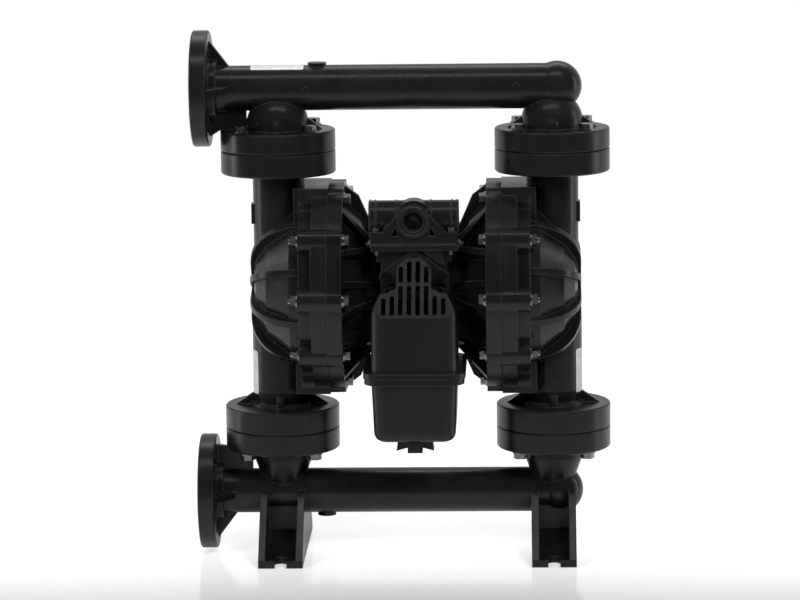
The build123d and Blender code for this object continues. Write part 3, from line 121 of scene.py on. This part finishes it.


def moulded_plastic(name, dark, light, rough, edge, grain, specular):
    """Injection-moulded glass-filled polypropylene. The eye gets a deep satin black whose tone and gloss
    drift with the melt's flow, a fine spark-eroded grain that breaks up highlights (drawn coarser than the
    real 0.1 mm, so that it shows), and edges that are softly rounded and smoother where they are rubbed,
    and paler, both as rubbed wear and as a painted highlight."""
    material, tree, place = new_material(name)
    along = add(tree, MAPPING, {"Vector": place, "Scale": FLOW_STRETCH}, "Vector")
    flow = add(tree, NOISE, {"Vector": along, "Scale": 1 / FLOW, "Detail": 3, "Roughness": 0.55}, "Fac")
    fibre = add(tree, NOISE, {"Vector": place, "Scale": 1 / FIBRE, "Detail": 4, "Roughness": 0.6}, "Fac")
    waves = add(tree, NOISE, {"Vector": place, "Scale": 1 / SINK, "Detail": 2}, "Fac")
    eroded = add(tree, NOISE, {"Vector": place, "Scale": 1 / grain, "Detail": 3, "Roughness": 0.6}, "Fac")
    rounded = add(tree, BEVEL, {"Radius": edge}, "Normal", samples=BEVEL_SAMPLES)
    wear_and_highlight = edge_wear_and_highlight(tree, rounded)

    tone = add(tree, RANGE, spread(flow, 0.0, 1.0, (0.35, 0.65)), "Result")
    body = add(tree, MIX, {0: tone, 6: linear(dark), 7: linear(light)}, 2, data_type="RGBA")
    # painted highlight and rubbed wear: rounded edges are mixed towards a paler grey
    colour = add(tree, MIX, {0: wear_and_highlight, 6: body, 7: linear(EDGE_WEAR_AND_HIGHLIGHT)}, 2, data_type="RGBA")

    drift = add(tree, RANGE, spread(flow, -0.05, 0.05), "Result")
    mottle = add(tree, RANGE, spread(fibre, -0.04, 0.04), "Result")
    uneven = add(tree, MATH, {0: drift, 1: mottle}, operation="ADD")
    face = add(tree, MATH, {0: uneven, 1: rough}, operation="ADD")
    polish = add(tree, MATH, {0: wear_and_highlight, 1: EDGE_POLISH}, operation="MULTIPLY")
    roughness = add(tree, MATH, {0: face, 1: polish}, operation="SUBTRACT")

    sunk = add(tree, BUMP, {"Height": waves, "Distance": SINK_DEPTH, "Normal": rounded}, "Normal")
    normal = add(tree, BUMP, {"Height": eroded, "Distance": GRAIN_DEPTH, "Normal": sunk}, "Normal")
    fill(tree, tree.nodes["Principled BSDF"],
         {"Base Color": colour, "Roughness": roughness, "Specular IOR Level": specular, "Normal": normal})
    return material


def cold_formed_steel(name):
    """Stainless fastener steel, cold formed and tumbled. The eye gets a grey metal with small uneven
    patches of shine and corners that catch the light softly."""
    material, tree, place = new_material(name)
    tone = add(tree, NOISE, {"Vector": place, "Scale": 1 / (6 * MM), "Detail": 3, "Roughness": 0.6}, "Fac")
    patches = add(tree, NOISE, {"Vector": place, "Scale": 1 / (2.2 * MM), "Detail": 4, "Roughness": 0.65},
                  "Fac")
    dents = add(tree, NOISE, {"Vector": place, "Scale": 1 / (0.5 * MM), "Detail": 3}, "Fac")
    rounded = add(tree, BEVEL, {"Radius": 0.4 * MM}, "Normal", samples=BEVEL_SAMPLES)
    colour = add(tree, MIX, {0: tone, 6: linear("#8f8d89"), 7: linear("#a3a19d")}, 2, data_type="RGBA")
    roughness = add(tree, RANGE, spread(patches, 0.23, 0.37), "Result")
    normal = add(tree, BUMP, {"Height": dents, "Distance": 0.015 * MM, "Normal": rounded}, "Normal")
    fill(tree, tree.nodes["Principled BSDF"],
         {"Base Color": colour, "Metallic": 1.0, "Roughness": roughness, "Normal": normal})
    return material


def blackened_steel(name):
    """Steel screw heads, black-oxide finished and oiled. The eye gets a dark brown-grey metal with an oily
    shine."""
    material, tree, place = new_material(name)
    tone = add(tree, NOISE, {"Vector": place, "Scale": 1 / (3 * MM), "Detail": 3, "Roughness": 0.6}, "Fac")
    oil = add(tree, NOISE, {"Vector": place, "Scale": 1 / (1.5 * MM), "Detail": 3}, "Fac")
    colour = add(tree, MIX, {0: tone, 6: linear("#2b2a29"), 7: linear("#454341")}, 2, data_type="RGBA")
    roughness = add(tree, RANGE, spread(oil, 0.22, 0.36), "Result")
    rounded = add(tree, BEVEL, {"Radius": 0.8 * MM}, "Normal", samples=BEVEL_SAMPLES)
    fill(tree, tree.nodes["Principled BSDF"],
         {"Base Color": colour, "Metallic": 1.0, "Roughness": roughness, "Normal": rounded})
    return material


def ground_steel(name):
    """Shaft steel, ground on centres. The eye gets a bright bar with fine marks that run round the X
    axis."""
    material, tree, place = new_material(name)
    around = add(tree, MAPPING, {"Vector": place, "Scale": (1, 0.03, 0.03)}, "Vector")
    marks = add(tree, NOISE, {"Vector": around, "Scale": 1 / (0.35 * MM), "Detail": 2}, "Fac")
    colour = add(tree, MIX, {0: marks, 6: linear("#b4b4b3"), 7: linear("#dededd")}, 2, data_type="RGBA")
    roughness = add(tree, RANGE, spread(marks, 0.16, 0.30, (0.2, 0.8)), "Result")
    normal = add(tree, BUMP, {"Height": marks, "Distance": 0.01 * MM}, "Normal")
    fill(tree, tree.nodes["Principled BSDF"],
         {"Base Color": colour, "Metallic": 1.0, "Roughness": roughness, "Normal": normal})
    return material


def gravity_cast(name):
    """Gravity-cast aluminium. The eye gets a dull pale metal with the mould's pebbled skin."""
    material, tree, place = new_material(name)
    skin = add(tree, NOISE, {"Vector": place, "Scale": 1 / (1.1 * MM), "Detail": 4, "Roughness": 0.65},
               "Fac")
    colour = add(tree, MIX, {0: skin, 6: linear("#8d8e90"), 7: linear("#b9babc")}, 2, data_type="RGBA")
    roughness = add(tree, RANGE, spread(skin, 0.42, 0.62), "Result")
    rounded = add(tree, BEVEL, {"Radius": 0.8 * MM}, "Normal", samples=BEVEL_SAMPLES)
    normal = add(tree, BUMP, {"Height": skin, "Distance": 0.08 * MM, "Normal": rounded}, "Normal")
    fill(tree, tree.nodes["Principled BSDF"],
         {"Base Color": colour, "Metallic": 1.0, "Roughness": roughness, "Normal": normal})
    return material


def rubber(name, shade, rough):
    """Moulded black rubber. The eye gets a matt dark skin with a grey bloom in patches and a faint
    pitting."""
    material, tree, place = new_material(name)
    bloom = add(tree, NOISE, {"Vector": place, "Scale": 1 / (14 * MM), "Detail": 4, "Roughness": 0.6},
                "Fac")
    pits = add(tree, NOISE, {"Vector": place, "Scale": 1 / (0.8 * MM), "Detail": 3}, "Fac")
    dusty = add(tree, RANGE, spread(bloom, 0, 0.5, (0.4, 0.7)), "Result")
    colour = add(tree, MIX, {0: dusty, 6: linear(shade), 7: linear("#3a3937")}, 2, data_type="RGBA")
    roughness = add(tree, RANGE, spread(bloom, rough - 0.08, rough + 0.08), "Result")
    rounded = add(tree, BEVEL, {"Radius": 0.5 * MM}, "Normal", samples=BEVEL_SAMPLES)
    normal = add(tree, BUMP, {"Height": pits, "Distance": 0.03 * MM, "Normal": rounded}, "Normal")
    fill(tree, tree.nodes["Principled BSDF"], {"Base Color": colour, "Roughness": roughness,
                                               "Normal": normal})
    return material


def turned_plastic(name, dark, light, rough):
    """Bearing or seat plastic, turned on a lathe. The eye gets a waxy off-white body with fine tool
    marks."""
    material, tree, place = new_material(name)
    marks = add(tree, NOISE, {"Vector": place, "Scale": 1 / (0.5 * MM), "Detail": 2}, "Fac")
    cloud = add(tree, NOISE, {"Vector": place, "Scale": 1 / (12 * MM), "Detail": 2}, "Fac")
    colour = add(tree, MIX, {0: cloud, 6: linear(dark), 7: linear(light)}, 2, data_type="RGBA")
    roughness = add(tree, RANGE, spread(marks, rough - 0.06, rough + 0.06), "Result")
    rounded = add(tree, BEVEL, {"Radius": 0.4 * MM}, "Normal", samples=BEVEL_SAMPLES)
    normal = add(tree, BUMP, {"Height": marks, "Distance": 0.02 * MM, "Normal": rounded}, "Normal")
    fill(tree, tree.nodes["Principled BSDF"],
         {"Base Color": colour, "Roughness": roughness, "Normal": normal, "Subsurface Weight": 0.08})
    return material


def knurled_brass(name):
    """Knurled brass. The eye gets a yellow metal broken into small pits, painted darker as shade, between
    brighter ridges.
    """
    material, tree, place = new_material(name)
    ridges = add(tree, CELLS, {"Vector": place, "Scale": 1 / (0.9 * MM)}, "Distance")
    # painted shade: the colour is darkest in the pits, where the knurl's height is lowest
    colour = add(tree, MIX, {0: ridges, 6: linear("#8f6f33"), 7: linear("#c9a55c")}, 2, data_type="RGBA")
    normal = add(tree, BUMP, {"Height": ridges, "Distance": 0.12 * MM}, "Normal")
    fill(tree, tree.nodes["Principled BSDF"],
         {"Base Color": colour, "Metallic": 1.0, "Roughness": 0.33, "Normal": normal})
    return material


def needled_felt(name):
    """Needled polyester felt. The eye gets a matt grey mat of short fibres with a soft edge of light."""
    material, tree, place = new_material(name)
    squeezed = add(tree, MAPPING, {"Vector": place, "Scale": (1, 1, 2.4)}, "Vector")
    fibres = add(tree, NOISE, {"Vector": squeezed, "Scale": 1 / (0.7 * MM), "Detail": 5, "Roughness": 0.75},
                 "Fac")
    colour = add(tree, MIX, {0: fibres, 6: linear("#6d6b66"), 7: linear("#b7b4ac")}, 2, data_type="RGBA")
    normal = add(tree, BUMP, {"Height": fibres, "Distance": 0.35 * MM}, "Normal")
    fill(tree, tree.nodes["Principled BSDF"],
         {"Base Color": colour, "Roughness": 0.95, "Normal": normal, "Sheen Weight": 0.4})
    return material


def blank_film(name):
    """Unprinted polypropylene label film, cast and die-cut. The eye gets an even pale satin, rubbed and
    dusty in patches."""
    material, tree, place = new_material(name)
    rub = add(tree, NOISE, {"Vector": place, "Scale": 1 / (7 * MM), "Detail": 5, "Roughness": 0.7}, "Fac")
    ripple = add(tree, NOISE, {"Vector": place, "Scale": 1 / (5 * MM), "Detail": 3}, "Fac")
    dusty = add(tree, RANGE, spread(rub, 0, 1, (0.45, 0.75)), "Result")
    colour = add(tree, MIX, {0: dusty, 6: linear("#c9cacc"), 7: linear("#a9aaad")}, 2, data_type="RGBA")
    roughness = add(tree, RANGE, spread(rub, 0.30, 0.48), "Result")
    normal = add(tree, BUMP, {"Height": ripple, "Distance": 0.03 * MM}, "Normal")
    fill(tree, tree.nodes["Principled BSDF"], {"Base Color": colour, "Roughness": roughness,
                                               "Normal": normal})
    return material


MATERIALS = {
    "wetted_polypropylene": moulded_plastic("glass_filled_polypropylene_moulded", "#121213", "#161617",
                                            rough=0.27, edge=2.0 * MM, grain=0.6 * MM, specular=0.36),
    "centre_polypropylene": moulded_plastic("glass_filled_polypropylene_centre", "#0f0f10", "#131314",
                                            rough=0.28, edge=2.2 * MM, grain=0.6 * MM, specular=0.38),
    "muffler_polypropylene": moulded_plastic("polypropylene_muffler_moulded", "#0e0f11", "#111214",
                                             rough=0.33, edge=1.8 * MM, grain=0.5 * MM, specular=0.36),
    "seat_polypropylene": turned_plastic("polypropylene_seat_machined", "#cfccc2", "#dedbd2", rough=0.45),
    "acetal_bearing": turned_plastic("acetal_turned", "#dcd9cf", "#ebe8df", rough=0.36),
    "stainless_steel": cold_formed_steel("stainless_steel_cold_formed"),
    "shaft_steel": ground_steel("shaft_steel_ground"),
    "plate_aluminium": gravity_cast("aluminium_gravity_cast"),
    "insert_brass": knurled_brass("brass_insert_knurled"),
    "diaphragm_rubber": rubber("fabric_reinforced_rubber_moulded", "#1d1c1b", rough=0.62),
    "ball_rubber": rubber("solid_rubber_ball_moulded", "#262524", rough=0.5),
    "seal_rubber": rubber("nitrile_seal_moulded", "#161615", rough=0.55),
    "felt": needled_felt("polyester_felt_needled"),
}


def dress_nodes():
    """Gives every CAD node the material of its slot. The hood's two screws are the only blackened ones."""
    for row in frame["record"]["subparts"]:
        node = NODES[row["node"]]
        if not node.material_slots:
            node.data.materials.append(None)
        node.material_slots[0].material = MATERIALS[row["material_slot"]]
    NODES["muffler_screws"].material_slots[0].material = blackened_steel("muffler_screw_black_oxide")


# ---------------------------------------------------------------- small pieces on the frame
COLUMN_X, COLUMN_LOW_R = 177 * MM, 37.4 * MM
TUBE_R, OUTLET_Z = 29.2 * MM, 608.6 * MM
COVER_JOINT_X, SHAFT_Z = 111 * MM, 350 * MM
SUNK = 0.1 * MM                # a film or pad starts this far inside the face that carries it
LABEL_T, PAD_T, PAD_D = 0.25 * MM, 0.35 * MM, 9 * MM
TUBE_LABEL = dict(x=-176 * MM, length=68 * MM, width=21 * MM, corner=2 * MM, up=math.radians(79))
SIDE_LABEL = dict(z=239.3 * MM, length=57 * MM, width=50 * MM, corner=3 * MM)
# place along the tube, turn up from its front
EJECTOR_PADS = ((-138 * MM, 0.0), (131 * MM, math.radians(5.5)))
PATCH_ROWS = 29

THREAD = dict(pitch=1.81 * MM, depth=1.0 * MM, turns=8, start=3.6 * MM, set_in_mm=0.05)
THREAD_PROFILE = np.array([-0.42, -0.06, 0.06, 0.42])     # root, crest, crest, root, as shares of the pitch
# rings in a turn, share of the depth left at the ends
THREAD_STEPS, THREAD_END = 56, 0.02

DIAPHRAGM = dict(hole_r=8.3 * MM, arc_in_r=73 * MM, bead_in_r=103.3 * MM, bead_out_r=111.6 * MM,
                 sheet_t=3.9 * MM, bead_t=4.9 * MM, rise=8 * MM)
# rings on the flat, which stop short of the arc
RIDGE = dict(depth=0.25 * MM, wave=1.6 * MM, short=6 * MM)
FLAT_POINTS, ARC_POINTS, TURN_POINTS = 12, 22, 144
BEAD_POINTS = np.array([0.08, 0.25, 0.5, 0.75, 0.92, 1])       # shares of the bead's width
# how late and how far the bead's corners fall
BEAD_POWER, BEAD_FALL = 6, 0.6


def grid_faces(rows, columns, closed):
    """Quads of a grid of points, row by row: point (r, c) has number r * columns + c, and each quad takes
    (r, c), (r, c + 1), (r + 1, c + 1) and (r + 1, c). Closed joins the last column to the first."""
    row, column = np.meshgrid(np.arange(rows - 1), np.arange(columns if closed else columns - 1),
                              indexing="ij")
    following = (column + 1) % columns
    return np.stack([row * columns + column, row * columns + following,
                     (row + 1) * columns + following, (row + 1) * columns + column], axis=-1).reshape(-1, 4)


def closed_piece(name, points, faces, material, smooth=False):
    """Object at the origin with a closed mesh of these points and quads, its faces turned to point
    outwards."""
    mesh = bpy.data.meshes.new(name)
    mesh.from_pydata(points.reshape(-1, 3).tolist(), [], faces.tolist())
    shape = bmesh.new()
    shape.from_mesh(mesh)
    bmesh.ops.recalc_face_normals(shape, faces=shape.faces)
    shape.to_mesh(mesh)
    shape.free()
    if smooth:
        mesh.shade_smooth()
    mesh.materials.append(material)
    piece = bpy.data.objects.new(name, mesh)
    bpy.context.scene.collection.objects.link(piece)
    return piece


def solid_strip(name, rings, material):
    """Closed piece on the housing from rings of four points, shaped (rings, 4, 3), with a quad over each
    end."""
    last = 4 * len(rings) - 1
    ends = np.array([[0, 1, 2, 3], [last, last - 1, last - 2, last - 3]])
    piece = closed_piece(name, rings, np.concatenate([grid_faces(len(rings), 4, True), ends]), material)
    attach(piece, "housing")


def wrapped_patch(name, base, along, out, radius, length, width, corner, thickness, material):
    """Thin patch on a cylinder. Row s runs from -width/2 to width/2 round the cylinder, at the angle s /
    radius from out; its half length is length/2 less what a rounded corner, a quarter circle, takes away at
    that s."""
    base, along, out = np.array(base), np.array(along), np.array(out)
    s = width / 2 * np.sin(np.linspace(-np.pi / 2, np.pi / 2, PATCH_ROWS))
    into = np.clip(np.abs(s) - (width / 2 - corner), 0, corner)
    half = length / 2 - corner + np.sqrt(corner ** 2 - into ** 2)
    face = np.cos(s / radius)[:, None] * out + np.sin(s / radius)[:, None] * np.cross(along, out)
    low, high = face * (radius - SUNK), face * (radius + thickness)
    reach = half[:, None] * along
    rings = np.stack([low - reach, low + reach, high + reach, high - reach], axis=1) + base
    solid_strip(name, rings, material)


def outlet_tube_face(turn):
    """Direction out of the outlet tube, turned up from its front: y = -cos(turn), z = sin(turn)."""
    return (0.0, -math.cos(turn), math.sin(turn))


def labels():
    """Three blank films: one on top of the outlet tube, and one on the outer side of each lower column."""
    film = blank_film("polypropylene_label_film_cast")
    tube, side = TUBE_LABEL, SIDE_LABEL
    wrapped_patch("label_outlet_tube", (tube["x"], 0, OUTLET_Z), (1, 0, 0), outlet_tube_face(tube["up"]),
                  TUBE_R,
                  tube["length"], tube["width"], tube["corner"], LABEL_T, film)
    for sign, word in ((-1, "left"), (1, "right")):
        wrapped_patch("label_column_" + word, (sign * COLUMN_X, 0, side["z"]), (0, 0, 1), (sign, 0, 0),
                      COLUMN_LOW_R, side["length"], side["width"], side["corner"], LABEL_T, film)


def ejector_pads():
    """Round pads that the mould's ejectors leave on the front of the outlet tube."""
    for count, (x, turn) in enumerate(EJECTOR_PADS, 1):
        wrapped_patch(f"ejector_pad_{count}", (x, 0, OUTLET_Z), (1, 0, 0), outlet_tube_face(turn), TUBE_R,
                      PAD_D, PAD_D, PAD_D / 2, PAD_T, MATERIALS["wetted_polypropylene"])


def inlet_thread():
    """Pipe thread in the air inlet: a ridge along a helix, y = start + pitch * turns, whose four-point
    profile stands in from the bore by the thread's depth and runs out to nearly nothing over half a turn at
    both ends."""
    port = next(mount for mount in frame["record"]["mounts"] if mount["name"] == "air_inlet")
    x, y, z = port["pos_m"]
    bore = (port["dims"]["r_mm"] - THREAD["set_in_mm"]) * MM
    turns = np.linspace(0, THREAD["turns"], THREAD["turns"] * THREAD_STEPS + 1)
    depth = THREAD["depth"] * np.clip(2 * np.minimum(turns, THREAD["turns"] - turns), THREAD_END, 1)
    reach = bore - depth[:, None] * np.array([0, 1, 1, 0])
    ahead = THREAD["start"] + THREAD["pitch"] * turns[:, None] + THREAD_PROFILE * THREAD["pitch"]
    angle = 2 * np.pi * turns[:, None]
    rings = np.stack([x + reach * np.cos(angle), y + ahead, z + reach * np.sin(angle)], axis=-1)
    solid_strip("air_inlet_thread", rings, MATERIALS["centre_polypropylene"])


def diaphragm_profile():
    """Radius and height of a diaphragm's section, out along one face and back along the other. The sheet is
    flat and ringed between the plates: depth * |sin(radius / wave)| is cut from each face. It rises in one
    arc of height H and radius (W * W / 4 + H * H) / (2 * H) over the width W, and ends in a bead whose half
    thickness is thickness / 2 * (1 - fall * |across| ^ power), with across from -1 to 1 over the bead's
    width."""
    d = DIAPHRAGM
    bead_width = d["bead_out_r"] - d["bead_in_r"]
    reach = np.concatenate([np.linspace(d["hole_r"], d["arc_in_r"], FLAT_POINTS),
                            np.linspace(d["arc_in_r"], d["bead_in_r"], ARC_POINTS)[1:],
                            d["bead_in_r"] + bead_width * BEAD_POINTS])
    width, middle = d["bead_in_r"] - d["arc_in_r"], (d["bead_in_r"] + d["arc_in_r"]) / 2
    arc_r = (width ** 2 / 4 + d["rise"] ** 2) / (2 * d["rise"])
    arc = np.sqrt(np.maximum(arc_r ** 2 - (reach - middle) ** 2, 0)) - (arc_r - d["rise"])
    rise = np.where(np.abs(reach - middle) < width / 2, arc, 0)
    across = np.clip((reach - d["bead_in_r"]) / bead_width, 0, 1) * 2 - 1
    bead = d["bead_t"] / 2 * (1 - np.abs(across) ** BEAD_POWER * BEAD_FALL)
    half = np.where(reach > d["bead_in_r"], bead, d["sheet_t"] / 2)
    ringed = reach < d["arc_in_r"] - RIDGE["short"]
    half = half - np.abs(RIDGE["depth"] * np.sin(reach / RIDGE["wave"]) * ringed)
    return np.concatenate([reach, reach[::-1]]), np.concatenate([rise + half, (rise - half)[::-1]])


def diaphragm(side, word):
    """Moulded diaphragm: its section is turned round the shaft's axis, y = radius * sin(turn) and z = shaft
    + radius * cos(turn)."""
    radius, height = diaphragm_profile()
    x = side * (COVER_JOINT_X + height)
    turn = np.linspace(0, 2 * np.pi, TURN_POINTS, endpoint=False)[:, None]
    points = np.stack([x + 0 * turn, radius * np.sin(turn), SHAFT_Z + radius * np.cos(turn)], axis=-1)
    faces = grid_faces(TURN_POINTS + 1, len(x), True) % (TURN_POINTS * len(x))
    piece = closed_piece("diaphragm_sheet_" + word, points, faces, MATERIALS["diaphragm_rubber"],
                         smooth=True)
    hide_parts("diaphragm_" + word)
    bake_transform(piece)


# ---------------------------------------------------------------- floor, light and camera
FLOOR_HALF, FLOOR_DROP = 30, 0.5 * MM      # half the table's side, and how far it lies under the feet
# depths, along Y, over which the painted shade on the floor's far front goes from dark to pale
FLOOR_SHADE_SPAN = (-1.7, -0.5)
FRONT_GLOW, FRONT_GLOW_ENDS = 0.97, (-0.5, -0.3)
BACK_GLOW, BACK_GLOW_STARTS = 0.62, (-0.30, 0.0)
MIRROR_GLOW, MIRROR_GLOW_STARTS = 0.35, (-0.3, 0.4)
WHITE, WARM = (1, 1, 1), (1, 0.95, 0.88)

# the room goes from front to back between these Y parts of a direction
ROOM_TURNS = (-0.3, 0.75)
ROOM_LIGHT = (0.10, 0.50)                  # light on the object from the dark room and from the pale wall
ROOM_SEEN = (0.05, 0.55)                   # the same two as a mirror shows them

LAMP_TARGET = (0, 0, 0.36)
LAMPS = (      # name, place, width, height, watts, colour, shows as a mirror image
    ("left_strip", (-2.4, 0.25, 0.7), 0.40, 1.8, 7, WHITE, True),
    ("right_strip", (2.4, 0.3, 0.7), 0.40, 1.8, 6, WARM, True),
    ("key_box", (1.3, -2.6, 2.6), 1.2, 1.2, 105, WHITE, False),
    ("fill_box", (-1.9, -2.4, 1.6), 1.0, 1.0, 70, WHITE, False),
    ("top_strip", (0.0, -0.9, 2.5), 2.0, 0.25, 6, WHITE, True),
    ("back_top_box", (0.0, 1.2, 2.4), 2.4, 0.6, 10, WHITE, True),
)

CAMERA_AT = (0.138719, -4.616067, 1.107941)
# degrees: up from straight down, roll, turn to the left
CAMERA_UP, CAMERA_ROLL, CAMERA_TURN = 80.440, 0.713, 1.871
SENSOR_MM, LENS_MM = 36, 162.03
CLIP = (0.1, 100)


def stage_floor():
    """White acrylic table, polished. The eye gets a pale floor that mirrors the feet softly. Far in front of
    the pump it is painted dark, as shade. For the camera alone it glows towards white behind the pump and
    from half a metre in front of it."""
    material, tree, place = new_material("white_acrylic_table")
    depth = add(tree, "ShaderNodeSeparateXYZ", {"Vector": place}, "Y")
    cloud = add(tree, NOISE, {"Vector": place, "Scale": 1 / (900 * MM), "Detail": 2}, "Fac")
    painted_front_shade = add(tree, RANGE, spread(depth, 1.0, 0.0, FLOOR_SHADE_SPAN), "Result")
    pale = add(tree, MIX, {0: cloud, 6: linear("#cecece"), 7: linear("#d4d4d4")}, 2, data_type="RGBA")
    # painted shade: the floor's colour goes to dark grey far in front of the pump
    colour = add(tree, MIX, {0: painted_front_shade, 6: pale, 7: linear("#3a3a3a")}, 2, data_type="RGBA")

    back = add(tree, RANGE, spread(depth, 0.0, BACK_GLOW, BACK_GLOW_STARTS), "Result")
    front = add(tree, RANGE, spread(depth, 1.0, 0.0, FRONT_GLOW_ENDS), "Result")
    front = add(tree, MATH, {0: front, 1: FRONT_GLOW}, operation="MULTIPLY")
    seen = add(tree, MATH, {0: back, 1: front}, operation="MAXIMUM")
    glow = add(tree, MATH, {0: seen, 1: add(tree, RAY, {}, "Is Camera Ray")}, operation="MULTIPLY")
    bounce = add(tree, MATH, {0: add(tree, RAY, {}, "Is Glossy Ray"), 1: add(tree, RAY, {},
                                                                             "Is Transmission Ray")},
                 operation="MAXIMUM")
    mirror = add(tree, RANGE, spread(depth, 0.0, MIRROR_GLOW, MIRROR_GLOW_STARTS), "Result")
    mirrored = add(tree, MATH, {0: bounce, 1: mirror}, operation="MULTIPLY")
    strength = add(tree, MATH, {0: glow, 1: mirrored}, operation="ADD")
    fill(tree, tree.nodes["Principled BSDF"],
         {"Base Color": colour, "Roughness": 0.12, "Emission Color": WHITE + (1,),
          "Emission Strength": strength})

    mesh = bpy.data.meshes.new("floor")
    corners = [(x * FLOOR_HALF, y * FLOOR_HALF, 0) for x, y in ((-1, -1), (1, -1), (1, 1), (-1, 1))]
    mesh.from_pydata(corners, [], [(0, 1, 2, 3)])
    mesh.materials.append(material)
    floor = bpy.data.objects.new("floor", mesh)
    bpy.context.scene.collection.objects.link(floor)
    floor.location.z = -FLOOR_DROP


def sky():
    """Studio surround: a dark room in front of the pump and a pale wall behind it. Its strength goes from
    the first to the second with a smooth step over the Y part of the direction, and the camera itself sees
    plain white."""
    world = bpy.data.worlds.new("studio")
    bpy.context.scene.world = world
    world.use_nodes = True
    tree = world.node_tree
    way = add(tree, "ShaderNodeTexCoord", {}, "Generated")
    depth = add(tree, "ShaderNodeSeparateXYZ", {"Vector": way}, "Y")
    strength, seen = [add(tree, RANGE, spread(depth, front, back, ROOM_TURNS), "Result",
                          interpolation_type="SMOOTHSTEP") for front, back in (ROOM_LIGHT, ROOM_SEEN)]
    for ray, level in (("Is Glossy Ray", seen), ("Is Transmission Ray", seen), ("Is Camera Ray", 1.0)):
        strength = add(tree, MIX, {0: add(tree, RAY, {}, ray), 2: strength, 3: level})
    fill(tree, tree.nodes["Background"], {"Strength": strength, "Color": WHITE + (1,)})


def lights():
    """Area lamps, each turned so that its -Z axis points from its place to the target."""
    for name, at, width, height, watts, colour, mirrored in LAMPS:
        data = bpy.data.lights.new(name, "AREA")
        data.shape = "RECTANGLE"
        data.size, data.size_y, data.energy, data.color = width, height, watts, colour
        lamp = bpy.data.objects.new(name, data)
        bpy.context.scene.collection.objects.link(lamp)
        lamp.location = at
        lamp.rotation_mode = "QUATERNION"
        lamp.rotation_quaternion = (Vector(LAMP_TARGET) - Vector(at)).to_track_quat("-Z", "Y")
        lamp.visible_glossy = mirrored


def camera():
    """Long lens in front of the pump, a little to its right and above it."""
    data = bpy.data.cameras.new("camera")
    data.sensor_fit, data.sensor_width, data.lens = "HORIZONTAL", SENSOR_MM, LENS_MM
    data.clip_start, data.clip_end = CLIP
    cam = bpy.data.objects.new("camera", data)
    bpy.context.scene.collection.objects.link(cam)
    turn = Euler([math.radians(angle) for angle in (CAMERA_UP, CAMERA_ROLL, CAMERA_TURN)]).to_matrix().to_4x4()
    cam.matrix_world = Matrix.Translation(CAMERA_AT) @ turn
    bpy.context.scene.camera = cam


dress_nodes()
labels()
ejector_pads()
inlet_thread()
diaphragm(-1, "left")
diaphragm(1, "right")
stage_floor()
sky()
lights()
camera()
bpy.context.scene.view_settings.view_transform = "Standard"
